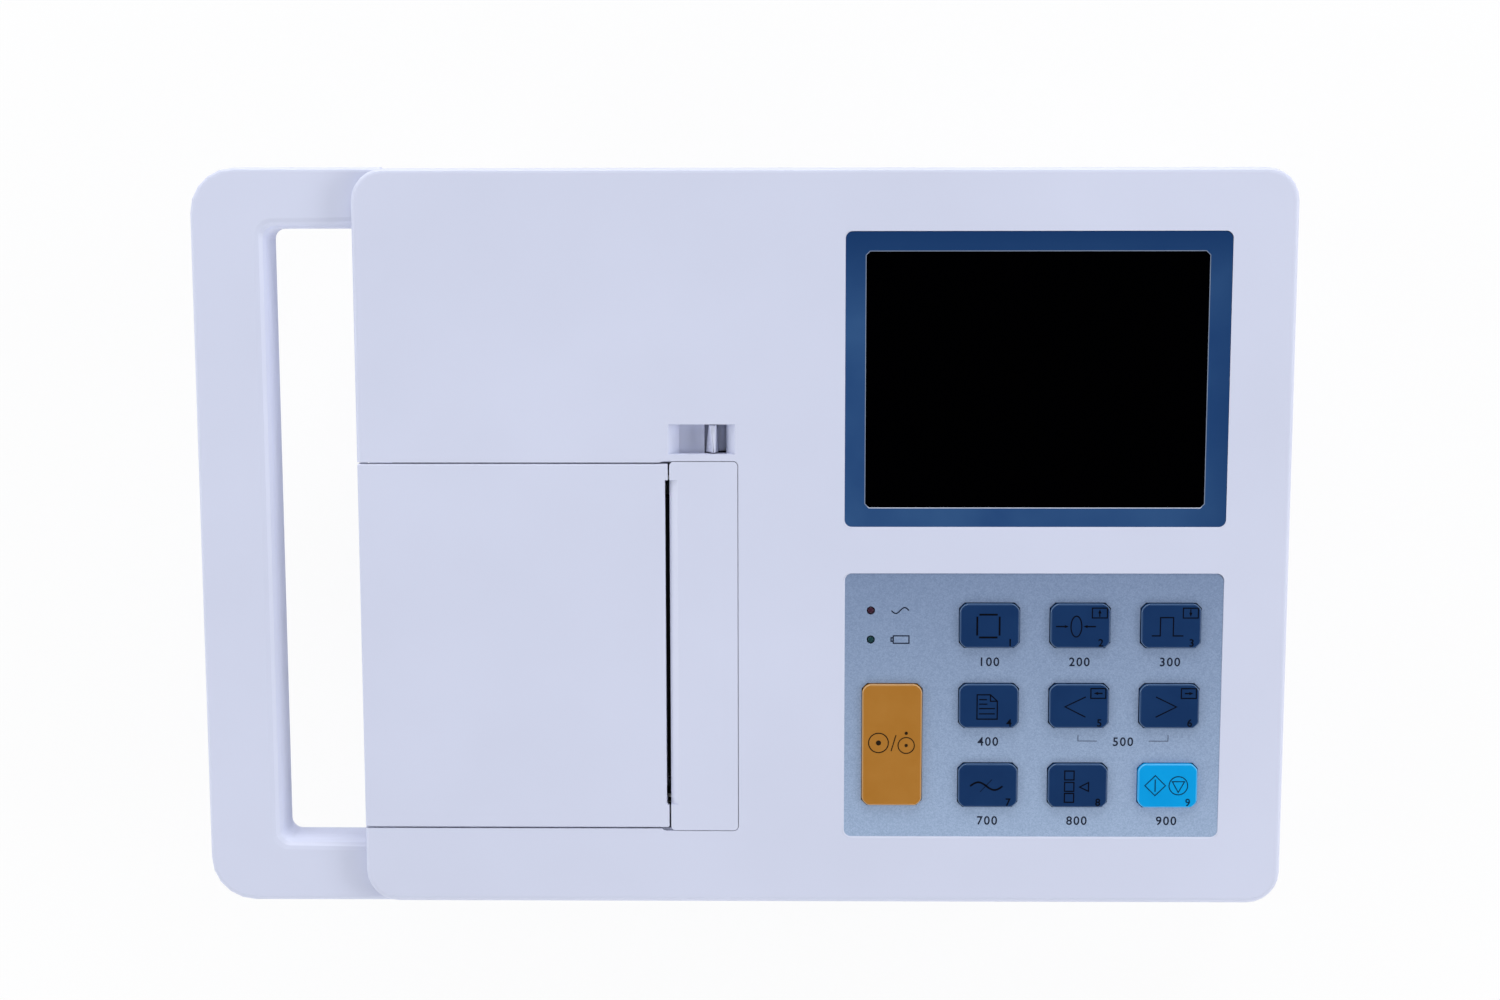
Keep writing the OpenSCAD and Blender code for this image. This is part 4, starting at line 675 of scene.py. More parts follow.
def share_edges(part, base, rims=(), sharpest=180):
    """Modifier that stores bevel weights: base, or a rim's own value near its outline."""
    group = bpy.data.node_groups.new(part.name + "_edge_shares", "GeometryNodeTree")
    group.interface.new_socket("Geometry", in_out="INPUT", socket_type="NodeSocketGeometry")
    group.interface.new_socket("Geometry", in_out="OUTPUT", socket_type="NodeSocketGeometry")
    source, result = group.nodes.new("NodeGroupInput"), group.nodes.new("NodeGroupOutput")
    angle = add(group, "GeometryNodeInputMeshEdgeAngle").outputs["Unsigned Angle"]
    sharp = maths(group, "MULTIPLY", maths(group, "GREATER_THAN", angle, math.radians(SHARP_EDGE)),
                  maths(group, "LESS_THAN", angle, math.radians(sharpest)))
    spot = add(group, "ShaderNodeVectorMath", {0: add(group, "GeometryNodeInputPosition").outputs[0],
                                               1: tuple(deck_origin)}, operation="SUBTRACT").outputs[0]
    x, y, z = (add(group, "ShaderNodeVectorMath", {0: spot, 1: tuple(axis)},
                   operation="DOT_PRODUCT").outputs["Value"] for axis in (right, deck_back, deck_up))
    share = base
    for low, high, reach, value in rims:
        middle, half = (low + high) / 2, (high - low) / 2
        off = maths(group, "ABSOLUTE", maths(group, "MAXIMUM", past_edge(group, x, middle.x, half.x),
                                             past_edge(group, y, middle.y, half.y)))
        near = maths(group, "MULTIPLY", maths(group, "LESS_THAN", off, reach),
                     maths(group, "GREATER_THAN", z, -RIM_DEPTH))
        away = maths(group, "SUBTRACT", 1.0, near)
        share = maths(group, "ADD", maths(group, "MULTIPLY", near, value),
                      maths(group, "MULTIPLY", away, share))
    store = add(group, "GeometryNodeStoreNamedAttribute", {"Name": "bevel_weight_edge"},
                data_type="FLOAT", domain="EDGE")
    group.links.new(source.outputs[0], store.inputs["Geometry"])
    value = next(socket for socket in store.inputs if socket.name == "Value" and socket.enabled)
    group.links.new(maths(group, "MULTIPLY", sharp, share), value)
    group.links.new(store.outputs[0], result.inputs[0])
    part.modifiers.new("edge_shares", "NODES").node_group = group


def add_bevel(part, name, width, segments=2, clamp=False):
    """Bevel modifier on the edges that turn more than ROUND_FROM degrees."""
    bevel = part.modifiers.new(name, "BEVEL")
    bevel.width, bevel.segments = width, segments
    bevel.limit_method, bevel.angle_limit = "ANGLE", math.radians(ROUND_FROM)
    bevel.use_clamp_overlap, bevel.harden_normals = clamp, True
    return bevel


def join_faces(part, merge=True):
    """Weld the split faces, and merge the triangles of each flat if asked."""
    part.modifiers.new("join_faces", "WELD").merge_threshold = SAME_POINT
    if merge:
        flats = part.modifiers.new("merge_flats", "DECIMATE")
        flats.decimate_type, flats.angle_limit = "DISSOLVE", math.radians(1.0)


def keep_flats(part):
    """Shade flat faces flat beside the rounded edges."""
    part.modifiers.new("keep_flats", "WEIGHTED_NORMAL").keep_sharp = True


print("tools for round edges")

# %% Round the edges of the plain parts
# The large shells have details finer than their edges, so their bevels stay clamped and
# the triangles of their flats aren't merged
SHELLS = {"top_case": 0.35, "bottom_case": 0.3, "handle_cover": 0.35, "printer_cover": 0.55,
          "paper_bay": 0.3, "printer_chassis": 0.15, "head_carrier": 0.2}
PLAIN = {"keypad_overlay": 0.08, "display_window": 0.2, "release_lever": 0.2, "battery_door": 0.3,
         "mains_inlet": 0.25, "power_switch": 0.25, "power_rocker": 0.3, "feet": 0.5,
         "side_sockets": 0.1}
for name, width in SHELLS.items():
    join_faces(nodes[name], merge=False)
    add_bevel(nodes[name], "round_edges", width * MM, clamp=True)
    keep_flats(nodes[name])
for name, width in PLAIN.items():
    join_faces(nodes[name])
    add_bevel(nodes[name], "round_edges", width * MM)
    keep_flats(nodes[name])
print(len(SHELLS), "shells and", len(PLAIN), "plain parts")

# %% Round the door
# The door keeps a crisp edge where the paper leaves
SLOT_HALF, SLOT_IN, SLOT_OUT, SLOT_REACH = 41 * MM, 1.2 * MM, 0.3 * MM, 1.4 * MM
DOOR_SHARE, CRISP_SHARE = 0.55, 0.08
door_high = deck_box("paper_door")[1]
slot_box = (Vector((door_high.x - SLOT_IN, -SLOT_HALF, 0)),
            Vector((door_high.x + SLOT_OUT, SLOT_HALF, 0)))
door = nodes["paper_door"]
join_faces(door)
share_edges(door, DOOR_SHARE, [(*slot_box, SLOT_REACH, CRISP_SHARE)])
add_bevel(door, "round_edges", MM, segments=3).limit_method = "WEIGHT"
keep_flats(door)
print("door's edges rounded")

# %% Round the keys
# A key's upright corners are rounded more than the rim of its top
KEY_CORNER, KEY_RIM, CORNER_ANGLE = 0.75 * MM, 0.45 * MM, 60
ALL_KEYS = [f"key_{i}" for i in range(1, 10)] + ["key_power"]
for name in ALL_KEYS:
    part = nodes[name]
    join_faces(part)
    share_edges(part, 1.0, sharpest=CORNER_ANGLE)
    add_bevel(part, "round_corners", KEY_CORNER, segments=3).limit_method = "WEIGHT"
    add_bevel(part, "round_edges", KEY_RIM)
    keep_flats(part)
print(len(ALL_KEYS), "keys rounded")

# %% [markdown]
# ### Lips round the panel and the window
# The case slopes down to its two inlaid sheets in a narrow lip. Each lip is a closed ring
# of three-cornered section: level with the deck outside, level with the sheet inside. It
# is wider in front and on the left, because the sheet sits close to the rear and the right.

# %% A helper that turns a mesh into a riding piece
def ride_on(name, data, material, body):
    """Object from mesh data, in one material, that rides on a body."""
    data.materials.clear()
    data.materials.append(material)
    piece = bpy.data.objects.new(name, data)
    bpy.context.scene.collection.objects.link(piece)
    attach(piece, body)
    return piece


def piece_of(mesh, name, material, body, plane):
    """Piece from a mesh that was drawn flat, moved onto its plane."""
    bmesh.ops.recalc_face_normals(mesh, faces=mesh.faces)
    mesh.transform(plane)
    data = bpy.data.meshes.new(name)
    mesh.to_mesh(data)
    mesh.free()
    return ride_on(name, data, material, body)


print("ready to make pieces")

# %% Rings that slope from the deck to a sheet
LIP_WIDE, LIP_NARROW, LIP_RADIUS, LIP_STEPS = 0.5 * MM, 0.12 * MM, 2.6 * MM, 8
LIP_EDGE, LIP_OVERLAP = 0.1 * MM, 0.01 * MM


def round_outline(x0, y0, x1, y1, radius):
    """Points round a rectangle with rounded corners."""
    points = []
    for cx, cy, start_angle in ((x1 - radius, y1 - radius, 0), (x0 + radius, y1 - radius, 90),
                                (x0 + radius, y0 + radius, 180), (x1 - radius, y0 + radius, 270)):
        for i in range(LIP_STEPS + 1):
            a = math.radians(start_angle + 90 * i / LIP_STEPS)
            points.append((cx + radius * math.cos(a), cy + radius * math.sin(a)))
    return points


def make_lip(name, sheet):
    """Lip round an inlaid sheet."""
    low, high = deck_box(sheet)
    x0, y0, x1, y1 = low.x - LIP_EDGE, low.y - LIP_EDGE, high.x + LIP_EDGE, high.y + LIP_EDGE
    outer = round_outline(x0, y0, x1, y1, LIP_RADIUS)
    inner = round_outline(x0 + LIP_WIDE, y0 + LIP_WIDE, x1 - LIP_NARROW, y1 - LIP_NARROW,
                          LIP_RADIUS - LIP_WIDE)
    top, bottom = -LIP_OVERLAP, high.z + LIP_OVERLAP
    mesh = bmesh.new()
    rings = [[mesh.verts.new((x, y, z)) for x, y in points]
             for points, z in ((outer, top), (inner, bottom), (outer, bottom))]
    for one, two in zip(rings, rings[1:] + rings[:1]):
        for i in range(len(outer)):
            j = (i + 1) % len(outer)
            mesh.faces.new((one[i], one[j], two[j], two[i]))
    piece_of(mesh, name, lid_plastic, "case", deck_matrix)
    print(name, "drops", round(-high.z * 1000, 2), "mm")


make_lip("panel_lip", "keypad_overlay")
make_lip("window_lip", "display_window")

# %% [markdown]
# ## Prints on the keys and the panel
# The pictograms are screen-printed, so each is a film of ink with an even line width. A
# function turns a list of points into a thin closed band with mitred corners; every
# pictogram is then a few bands and dots, drawn on a grid from the middle of its key.

# %% Bands and dots of ink
INK = 0.03 * MM
GRID = 1.16 * MM


def add_prism(mesh, outline):
    """Thin solid over a closed outline of grid points."""
    low = [mesh.verts.new((x * GRID, y * GRID, 0)) for x, y in outline]
    high = [mesh.verts.new((x * GRID, y * GRID, INK)) for x, y in outline]
    mesh.faces.new(high)
    mesh.faces.new(low[::-1])
    for i in range(len(low)):
        j = (i + 1) % len(low)
        mesh.faces.new((low[i], low[j], high[j], high[i]))


def add_band(mesh, points, width, closed=False):
    """Band of ink along points, with mitred corners."""
    points = [Vector(p) for p in points]
    count = len(points)
    left, right_side = [], []
    for i, here in enumerate(points):
        before = points[i - 1] if closed or i else None
        after = points[(i + 1) % count] if closed or i < count - 1 else None
        ways = [(b - a).normalized() for a, b in ((before, here), (here, after))
                if a is not None and b is not None]
        sides = [Vector((-w.y, w.x)) for w in ways]
        mitre = sum(sides, Vector((0, 0))).normalized()
        reach = width / 2 / max(mitre.dot(sides[0]), 0.5)
        left.append(here + mitre * reach)
        right_side.append(here - mitre * reach)
    last = count if closed else count - 1
    rings = [[mesh.verts.new((p.x * GRID, p.y * GRID, z)) for p, z in
              ((left[i], 0), (right_side[i], 0), (right_side[i], INK), (left[i], INK))]
             for i in range(count)]
    for i in range(last):
        one, two = rings[i], rings[(i + 1) % count]
        for k in range(4):
            mesh.faces.new((one[k], one[(k + 1) % 4], two[(k + 1) % 4], two[k]))
    if not closed:
        mesh.faces.new(rings[0][::-1])
        mesh.faces.new(rings[-1])


print("bands and dots")


# %% Outlines that the pictograms share
def ellipse(x, y, rx, ry=None, steps=40):
    """Points round an ellipse, or a circle if ry is left out."""
    ry = rx if ry is None else ry
    return [(x + rx * math.cos(2 * math.pi * i / steps), y + ry * math.sin(2 * math.pi * i / steps))
            for i in range(steps)]


def box(x0, y0, x1, y1):
    """Corners of a rectangle."""
    return [(x0, y0), (x1, y0), (x1, y1), (x0, y1)]


def arrow(x, y, dx, dy, length, head=0.75, width=0.32):
    """Shaft and head of an arrow that starts at x, y and points along dx, dy."""
    tip = Vector((x + dx * length, y + dy * length))
    way, side = Vector((dx, dy)), Vector((-dy, dx))
    neck = tip - way * head * 1.3
    return [("band", [(x, y), tuple(neck)], width),
            ("dot", [tuple(tip), tuple(neck - side * head / 2), tuple(neck + side * head / 2)])]


def wave(x0, x1, y, height, turns=1.0, steps=24):
    """Points along a sine wave."""
    return [(x0 + (x1 - x0) * i / steps, y + height * math.sin(2 * math.pi * turns * i / steps))
            for i in range(steps + 1)]


print("outlines ready")


# %% One piece of ink from a list of marks
def print_ink(name, body, ink, at, marks, plane=deck_matrix):
    """One mesh of ink from marks: ("band" or "ring", points, width) or ("dot", points)."""
    mesh = bmesh.new()
    for mark in marks:
        if mark[0] == "dot":
            add_prism(mesh, mark[1])
        else:
            add_band(mesh, mark[1], mark[2], closed=mark[0] == "ring")
    return piece_of(mesh, name, ink, body, plane @ Matrix.Translation(at))


print("ready to print")

# %% [markdown]
# ### Inks
# Screen ink is dry and matt, so it shines less than the satin key under it. Each ground has
# its own ink: nearly black on the blue keys, deep blue on the light one, brown on the ochre
# one and dark slate on the panel.

# %% Inks
def ink_of(name, colour, light):
    """Screen ink with a faint mottle and a dry, rough surface."""
    material, tree = start(name)
    grain_node = use_group(tree, grain_group, Grains_per_metre=6000.0, Blotches=400.0)
    body = tint(tree, grain_node.outputs["Blotch"], colour, light)
    return finish((material, tree), body, 0.6, bump=0.2, height=grain_node.outputs["Height"],
                  Specular_IOR_Level=0.02)


key_ink = ink_of("key_ink", (0.0016, 0.0022, 0.0045), (0.0025, 0.0035, 0.007))
run_ink = ink_of("run_key_ink", (0.004, 0.030, 0.075), (0.005, 0.036, 0.085))
power_ink = ink_of("power_key_ink", (0.018, 0.011, 0.006), (0.024, 0.015, 0.008))
panel_ink = ink_of("panel_ink", (0.012, 0.016, 0.032), (0.017, 0.022, 0.042))
print("four inks")

# %% [markdown]
# ### Pictograms
# Each key's sign is listed as marks in grid steps from the key's middle, so a sign can be
# read and changed in one line. Four of them share the small box in the corner, with an arrow.

# %% Pictograms on the keys
THIN, THICK = 0.3, 0.46
PRINT_SHIFT = {"key": (-0.35, 0.0), "key_power": (0.0, 0.2)}
CORNER_BOX = ("ring", box(3.25, 2.1, 7.0, 4.6), 0.28)
pictograms = {
    "key_1": [("band", [(-2.8, -2.4), (-2.8, 2.4)], THICK), ("band", [(2.8, -2.4), (2.8, 2.4)], THICK),
              ("band", [(-2.3, 2.9), (2.3, 2.9)], THICK), ("band", [(-2.3, -2.9), (2.3, -2.9)], THICK)],
    "key_2": [("ring", ellipse(-0.7, -0.1, 1.35, 2.65), THIN), *arrow(-5.8, -0.1, 1, 0, 3.2),
              *arrow(4.2, -0.1, -1, 0, 3.1), CORNER_BOX, *arrow(5.1, 2.4, 0, 1, 1.9, 0.8, 0.28)],
    "key_3": [("band", [(-4.5, -2.45), (-2.4, -2.45), (-2.4, 2.2), (0.85, 2.2), (0.85, -2.45),
                        (3.4, -2.45)], THIN), CORNER_BOX, *arrow(5.1, 4.3, 0, -1, 1.9, 0.8, 0.28)],
    "key_4": [("ring", [(-2.6, -3.3), (2.5, -3.3), (2.5, 1.3), (0.75, 2.95), (-2.6, 2.95)], THIN),
              ("band", [(0.75, 2.9), (0.75, 1.3), (2.45, 1.3)], THIN)]
             + [("band", [(-2.1, y), (x, y)], 0.28)
                for x, y in ((-0.1, 1.7), (0.0, 0.55), (1.9, -0.6), (1.9, -1.95))],
    "key_5": [("band", [(2.0, 2.45), (-3.2, -0.1), (2.0, -2.75)], 0.29), CORNER_BOX,
              *arrow(6.2, 3.35, -1, 0, 2.2, 0.8, 0.34)],
    "key_6": [("band", [(-3.1, 2.45), (2.1, -0.1), (-3.1, -2.75)], 0.29), CORNER_BOX,
              *arrow(4.1, 3.35, 1, 0, 2.2, 0.8, 0.34)],
    "key_7": [("band", wave(-4.1, 4.1, -0.1, 1.0), 0.45),
              ("band", [(-1.6, -1.6), (1.4, 1.6)], 0.14)],
    "key_8": [("ring", box(-2.95, 1.55, -0.6, 3.85), THIN), ("ring", box(-2.95, -1.4, -0.6, 0.9), THIN),
              ("ring", box(-2.95, -4.25, -0.6, -1.95), THIN),
              ("ring", [(0.85, -0.3), (3.1, -1.4), (3.1, 0.9)], THIN)],
    "key_9": [("ring", [(-5.4, 0.1), (-2.8, 2.7), (-0.2, 0.1), (-2.8, -2.5)], 0.25),
              ("band", [(-2.8, 1.7), (-2.8, -1.5)], 0.28), ("ring", ellipse(3.05, 0.1, 2.35), 0.25),
              ("ring", [(1.5, 1.15), (4.6, 1.15), (3.05, -1.65)], 0.25)],
    "key_power": [("ring", ellipse(-3.4, 0.4, 2.5), 0.27), ("dot", ellipse(-3.4, 0.4, 0.65)),
                  ("band", [(-0.2, -1.7), (1.0, 2.4)], 0.27), ("ring", ellipse(3.6, -0.25, 2.05), 0.27),
                  ("dot", ellipse(3.6, -0.25, 0.42)), ("dot", ellipse(3.6, 2.9, 0.42))]}
print(len(pictograms), "signs drawn")


# %% Print each pictogram on its key
def key_middle(name):
    """Middle of the top of a key."""
    low, high = deck_box(name)
    return Vector(((low.x + high.x) / 2, (low.y + high.y) / 2, high.z))


key_inks = {"key_9": run_ink, "key_power": power_ink}
button_of = {name: "power_button" if name == "key_power" else name.replace("key", "button")
             for name in pictograms}
for name, marks in pictograms.items():
    shift = PRINT_SHIFT["key_power" if name == "key_power" else "key"]
    at = key_middle(name) + Vector((*shift, 0)) * GRID
    print_ink(name + "_pictogram", button_of[name], key_inks.get(name, key_ink), at, marks)
print(len(pictograms), "pictograms")

# %% [markdown]
# ### Numbers
# Plain numbers stand where a maker would print words: a small one in the corner of each of
# nine keys and a wider one below. They come from Blender's own font, turned into thin meshes.

# %% Numbers on the keys and below them
CORNER_PLACE, CORNER_SIZE = Vector((5.97, -5.04, 0)) * MM, 3.1 * MM
LEGEND_DROP, LEGEND_SIZE, LEGEND_SPACING = 10.95 * MM, 3.6 * MM, 1.2
STROKE = 0.05 * MM
panel_top = deck_box("keypad_overlay")[1].z


def print_number(name, text, body, ink, at, size, spacing=1.0):
    """Number from the built-in font, centred at a place and riding on a body."""
    curve = bpy.data.curves.new(name, "FONT")
    curve.body, curve.size, curve.extrude = text, size, INK / 2
    curve.align_x, curve.align_y = "CENTER", "CENTER"
    curve.space_character, curve.offset = spacing, STROKE
    helper = bpy.data.objects.new(name, curve)
    data = bpy.data.meshes.new_from_object(helper)
    bpy.data.objects.remove(helper)
    bpy.data.curves.remove(curve)
    data.transform(deck_matrix @ Matrix.Translation(at + Vector((0, 0, INK / 2))))
    ride_on(name, data, ink, body)


for i in range(1, 10):
    key = f"key_{i}"
    print_number(f"{key}_number", str(i), button_of[key], key_inks.get(key, key_ink),
                 key_middle(key) + CORNER_PLACE, CORNER_SIZE)
    if i not in (5, 6):
        middle = key_middle(key)
        print_number(f"legend_{i}", str(i * 100), "case", panel_ink,
                     Vector((middle.x, middle.y - LEGEND_DROP, panel_top)),
                     LEGEND_SIZE, LEGEND_SPACING)
print("numbers on nine keys")

# %% [markdown]
# ### Signs beside the lamps and below the arrow keys
# The two arrow keys share one number in a bracket. Beside the lamps stand a wave for the
# mains and a cell for the battery, signs that any such machine may carry.

# %% Bracket under the arrow keys
first, second = key_middle("key_5"), key_middle("key_6")
print_number("legend_5", "500", "case", panel_ink,
             Vector(((first.x + second.x) / 2, first.y - LEGEND_DROP, panel_top)),
             LEGEND_SIZE, LEGEND_SPACING)
half_gap = (second.x - first.x) / GRID / 2
TICK, BAR, OPENING, BRACKET_LINE = -7.6, -9.15, 6.5, 0.15
marks = [("band", [(0, TICK), (0, BAR), (half_gap - OPENING, BAR)], BRACKET_LINE),
         ("band", [(half_gap + OPENING, BAR), (half_gap * 2, BAR), (half_gap * 2, TICK)], BRACKET_LINE)]
print_ink("pair_bracket", "case", panel_ink, Vector((first.x, first.y, panel_top)), marks)
print("bracket of", round(half_gap * 2 * GRID / MM, 1), "mm")

# %% Signs beside the lamps
SIGN_SHIFT = 8.55 * MM
low, high = deck_box("indicator_leds")
lamp_x = (low.x + high.x) / 2
lamp_y = [high.y - (high.x - low.x) / 2, low.y + (high.x - low.x) / 2]
signs = [[("band", wave(-2.2, 2.2, 0, -0.75), THIN)],
         [("ring", box(-1.7, -0.95, 2.25, 0.95), THIN),
          ("ring", box(-2.25, -0.45, -1.75, 0.45), THIN)]]
for name, y, marks in zip(("mains", "battery"), lamp_y, signs):
    print_ink(name + "_sign", "case", panel_ink, Vector((lamp_x + SIGN_SHIFT, y, panel_top)), marks)
print(len(signs), "lamp signs")

# %% [markdown]
# ## Fittings on the rear and right-hand panels
# These small parts tell a maker's hand: screws with a cross recess hold the mains inlet,
# the serial socket has gilt contacts in a dark insert, the square data socket has its
# tongue, and the switch carries its two marks. Each sits on the face that carries it, so
# its plane comes from the box of the part it belongs to. Outlines and heights are given in
# millimetres here, and `add_hollow` turns them into metres.

# %% Planes of the two panels and of the underside
rear_axes = axes_matrix((-1, 0, 0), (0, 0, 1), (0, 1, 0))
side_axes = axes_matrix((0, 1, 0), (0, 0, 1), (1, 0, 0))
down_axes = axes_matrix((1, 0, 0), (0, -1, 0), (0, 0, -1))


def plane_at(place, axes):
    """Plane through a place, whose third axis points out of the panel."""
    return Matrix.Translation(place) @ axes


def middle_of(low, high):
    """Middle of a box given by its corners."""
    return (Vector(low) + Vector(high)) / 2


def islands(name):
    """Boxes of the separate solids of a part, found by welding its vertices."""
    mesh = bmesh.new()
    mesh.from_mesh(nodes[name].data)
    bmesh.ops.remove_doubles(mesh, verts=mesh.verts, dist=SAME_POINT)
    left, boxes = set(mesh.verts), []
    while left:
        solid, to_visit = set(), [left.pop()]
        while to_visit:
            vert = to_visit.pop()
            solid.add(vert)
            for edge in vert.link_edges:
                other = edge.other_vert(vert)
                if other in left:
                    left.discard(other)
                    to_visit.append(other)
        boxes.append(tuple(Vector([pick(v.co[i] for v in solid) for i in range(3)])
                           for pick in (min, max)))
    mesh.free()
    return sorted(boxes, key=lambda pair: tuple(pair[0]))


print("panel planes ready")


# %% Solids made of prisms, some with a hole
def add_hollow(mesh, outline, z0, z1, *hole):
    """Prism from z0 to z1, in mm, over an outline with at most one hole."""
    walls = []
    for loop in [outline] + [h[::-1] for h in hole]:
        low = [mesh.verts.new((x * MM, y * MM, z0 * MM)) for x, y in loop]
        high = [mesh.verts.new((x * MM, y * MM, z1 * MM)) for x, y in loop]
        for i in range(len(loop)):
            j = (i + 1) % len(loop)
            mesh.faces.new((low[i], low[j], high[j], high[i]))
        walls.append((low, high))
    for level in (0, 1):
        if hole:
            rings = [pair[level] for pair in walls]
            edges = [mesh.edges.get((ring[i], ring[(i + 1) % len(ring)]))
                     for ring in rings for i in range(len(ring))]
            bmesh.ops.triangle_fill(mesh, edges=edges, use_beauty=True)
        else:
            mesh.faces.new(walls[0][level])


def solid_of(name, body, material, prisms, plane):
    """Piece from prisms (outline, z0, z1) or (outline, z0, z1, hole), on a plane."""
    mesh = bmesh.new()
    for prism in prisms:
        add_hollow(mesh, *prism)
    return piece_of(mesh, name, material, body, plane)


print("prisms ready")

# %% [markdown]
# ### Screws
# A pan head is a stepped disc, and the driver fits a cross let into it. Two hold the mains
# inlet, and nine close the case from below, deep in their tubes.

# %% A screw head
SHOULDER, RECESS, ARM = 0.86, 0.62, 0.3
LOW_STEP, HIGH_STEP = 0.45, 0.8


def cross(reach, width):
    """Outline of a cross recess."""
    r, w = reach, width / 2
    return [(r, -w), (r, w), (w, w), (w, r), (-w, r), (-w, w), (-r, w), (-r, -w), (-w, -w),
            (-w, -r), (w, -r), (w, -w)]


def screw_head(name, plane, radius, height):
    """Pan head: a stepped disc with a cross let into it, in shares of its radius and height."""
    outer, inner = ellipse(0, 0, radius, steps=28), ellipse(0, 0, radius * SHOULDER, steps=28)
    recess = cross(radius * RECESS, radius * ARM)
    parts = [(outer, 0, height * LOW_STEP), (outer, height * LOW_STEP, height * HIGH_STEP, recess),
             (inner, height * HIGH_STEP, height, recess)]
    return solid_of(name, "case", materials["nickel"], parts, plane)


print("screw head ready")

# %% Screws of the mains inlet and of the case
FLANGE_SCREW = 20 * MM
HEAD_RADIUS, INLET_HEAD, CASE_HEAD = 2.6, 1.1, 0.8
inlet_low, inlet_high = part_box("mains_inlet")
inlet = middle_of(inlet_low, inlet_high)
for side in (-1, 1):
    place = (inlet.x + side * FLANGE_SCREW, inlet_high[1], inlet.z)
    screw_head(f"inlet_screw_{'left' if side > 0 else 'right'}",
               plane_at(place, rear_axes), HEAD_RADIUS, INLET_HEAD)
case_screws = islands("case_screws")
for i, (low, high) in enumerate(case_screws, 1):
    middle = middle_of(low, high)
    screw_head(f"case_screw_head_{i}", plane_at((middle.x, middle.y, low.z), down_axes),
               HEAD_RADIUS, CASE_HEAD)
print(len(case_screws), "case screws")

# %% [markdown]
# ### Fuse caps
# A fuse holder closes with a black cap that is turned with a coin. The fine teeth of its
# rim come from a formula: every second point of a circle is set back a little.

# %% Caps of the two fuse holders
CAP_RADIUS, CAP_GRIP, CAP_TEETH = 7.6, 0.3, 36
CAP_STEP, CAP_TOP, CAP_SHOULDER = 2.5, 2.9, 0.7
INLET_FLANGE, HOLDER_WIDTH = 2 * MM, 13 * MM


def gripped(radius, depth, teeth):
    """Round outline with a shallow tooth at every second point."""
    return [(math.cos(math.pi * i / teeth) * (radius - depth * (i % 2)),
             math.sin(math.pi * i / teeth) * (radius - depth * (i % 2))) for i in range(2 * teeth)]


coin_slot = box(-4.5, -0.75, 4.5, 0.75)
fuses = [pair for pair in islands("rear_terminals") if pair[1].x - pair[0].x > HOLDER_WIDTH]
for i, (low, high) in enumerate(fuses, 1):
    middle = middle_of(low, high)
    plane = plane_at((middle.x, inlet_high[1] - INLET_FLANGE, middle.z), rear_axes)
    solid_of(f"fuse_cap_{i}", "case", materials["black_plastic"],
             [(gripped(CAP_RADIUS, CAP_GRIP, CAP_TEETH), 0, CAP_STEP, coin_slot),
              (ellipse(0, 0, CAP_RADIUS - CAP_SHOULDER, steps=36), CAP_STEP, CAP_TOP, coin_slot)], plane)
print(len(fuses), "fuse caps")

# %% [markdown]
# ### Marks on the switch
# The rocker is bent, so its two halves face different ways. The area of each half's faces
# gives its middle and its direction, and the marks for on and off lie in those planes.
# They ride on the rocker, so they tip with it.

# %% On and off
UPRIGHT_FACE, PIN_END, INK_GAP = 0.9, 10 * MM * MM, 0.01 * MM
left = Vector((-1, 0, 0))
rocker_middle = middle_of(*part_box("power_rocker"))
switch_ink = ink_of("switch_ink", (0.70, 0.70, 0.68), (0.78, 0.78, 0.76))
switch_marks = {"upper": [("band", [(0, -1.6), (0, 1.6)], 0.45)],
                "lower": [("ring", ellipse(0, 0, 1.35), 0.4)]}
for half, marks in switch_marks.items():
    faces = [face for face in nodes["power_rocker"].data.polygons
             if face.normal.y > UPRIGHT_FACE and face.area > PIN_END
             and (face.center.z > rocker_middle.z) == (half == "upper")]
    area = sum(face.area for face in faces)
    middle = sum((face.center * face.area for face in faces), Vector()) / area
    out = sum((face.normal * face.area for face in faces), Vector()).normalized()
    print_ink(f"switch_mark_{half}", "rocker", switch_ink, Vector((0, 0, INK_GAP)), marks,
              plane_at(middle, axes_matrix(left, out.cross(left), out)))
print(len(switch_marks), "switch marks")

# %% [markdown]
# ### Sockets
# The patient socket has fifteen gilt contacts in two rows, in a dark insert shaped like a
# flattened D, so that a plug goes in one way only. The data socket has a tongue with two
# contacts above and two below.

# %% Insert and contacts of the patient socket
gilt = metal("gilt_contacts", (0.80, 0.60, 0.26), 0.25, 400, 400, 0.9)
sockets = sorted(islands("side_sockets"), key=lambda pair: pair[0].y)
(data_low, data_high), (serial_low, serial_high) = sockets[0], sockets[-1]
serial = middle_of(serial_low, serial_high)
insert_plane = plane_at((serial_high.x, serial.y, serial.z), side_axes)
PITCH, ROW = 2.74, 1.4
CONTACT_OUTER, CONTACT_BORE = 0.62, 0.36
INSERT_TOP, INSERT_BOTTOM, INSERT_HALF = 11.6, 10.9, 3.3
places = [((i - 3.5) * PITCH, ROW) for i in range(8)] + [((i - 3) * PITCH, -ROW) for i in range(7)]
insert = [(INSERT_TOP, INSERT_HALF), (INSERT_BOTTOM, -INSERT_HALF),
          (-INSERT_BOTTOM, -INSERT_HALF), (-INSERT_TOP, INSERT_HALF)]
solid_of("serial_insert", "case", materials["black_plastic"],
         [(insert, -0.02, 0.25)], insert_plane)
solid_of("serial_contacts", "case", gilt,
         [(ellipse(x, y, CONTACT_OUTER, steps=12), 0.2, 0.42, ellipse(x, y, CONTACT_BORE, steps=12))
          for x, y in places], insert_plane)
print(len(places), "contacts")

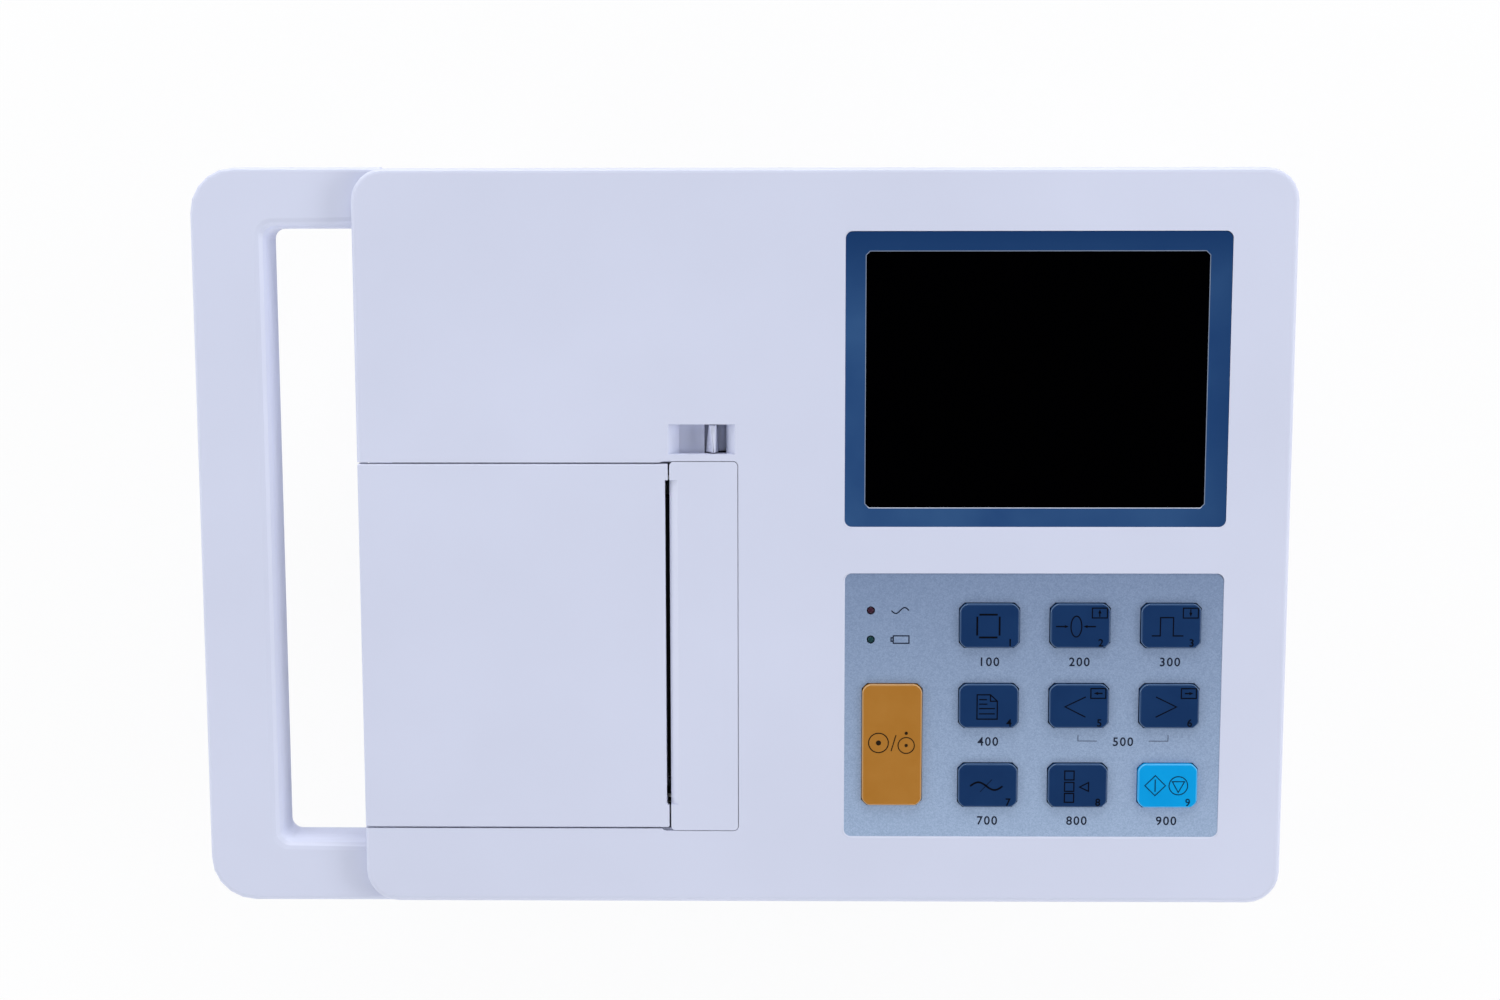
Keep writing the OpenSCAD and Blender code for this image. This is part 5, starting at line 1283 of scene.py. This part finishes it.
# %% Tongue of the data socket
TONGUE_HALF, TONGUE_RISE, TONGUE_BACK, TONGUE_FRONT = 2.8, 1.6, -8.4, -1.6
CONTACT_HALF, CONTACT_AT, CONTACT_BACK, CONTACT_FRONT = 0.5, 1.5, -7.8, -2.2
CONTACT_SINK, CONTACT_PROUD = 0.05, 0.25
data = middle_of(data_low, data_high)
data_plane = plane_at((data_high.x, data.y, data.z), side_axes)
solid_of("data_tongue", "case", materials["black_plastic"],
         [(box(-TONGUE_HALF, -TONGUE_RISE, TONGUE_HALF, TONGUE_RISE), TONGUE_BACK, TONGUE_FRONT)],
         data_plane)
near, far = TONGUE_RISE - CONTACT_SINK, TONGUE_RISE + CONTACT_PROUD
strips = [box(x - CONTACT_HALF, low, x + CONTACT_HALF, high)
          for low, high in ((near, far), (-far, -near)) for x in (-CONTACT_AT, CONTACT_AT)]
solid_of("data_contacts", "case", gilt,
         [(strip, CONTACT_BACK, CONTACT_FRONT) for strip in strips], data_plane)
print("tongue with", len(strips), "contacts")

# %% [markdown]
# ## Face of the print head
# Paper is pressed against a thin glazed line that holds the heater dots. Below it a strip
# of black resin covers the driver chips. Both lie on the face that looks at the platen, so
# the third axis of their plane points to the left, along the deck. Sizes are in millimetres.

# %% Heater line and driver strip
PLATEN_BELOW_TOP, HEATER_HALF, HEATER_WIDTH, HEATER_HEIGHT = 7 * MM, 36, 1.4, 0.08
STRIP_HALF, STRIP_LOW, STRIP_HIGH, STRIP_HEIGHT, STRIP_STEP = 37, -6.8, -4.2, 0.6, 0.4
head_low, head_high = deck_box("print_head")
heater_at = (head_low.x, middle_of(head_low, head_high).y, head_high.z - PLATEN_BELOW_TOP)
head_plane = deck_matrix @ plane_at(heater_at, axes_matrix((0, -1, 0), (0, 0, 1), (-1, 0, 0)))
heater_glaze = ink_of("heater_glaze", (0.030, 0.018, 0.010), (0.050, 0.032, 0.020))
solid_of("heater_line", "head", heater_glaze,
         [(box(-HEATER_HALF, -HEATER_WIDTH / 2, HEATER_HALF, HEATER_WIDTH / 2), 0, HEATER_HEIGHT)],
         head_plane)
solid_of("driver_strip", "head", materials["black_plastic"],
         [(box(-STRIP_HALF, STRIP_LOW, STRIP_HALF, STRIP_HIGH), 0, STRIP_HEIGHT / 2),
          (box(-STRIP_HALF + STRIP_STEP, STRIP_LOW + STRIP_STEP,
               STRIP_HALF - STRIP_STEP, STRIP_HIGH - STRIP_STEP),
           STRIP_HEIGHT / 2, STRIP_HEIGHT)], head_plane)
print("heater line", HEATER_HALF * 2, "mm long")
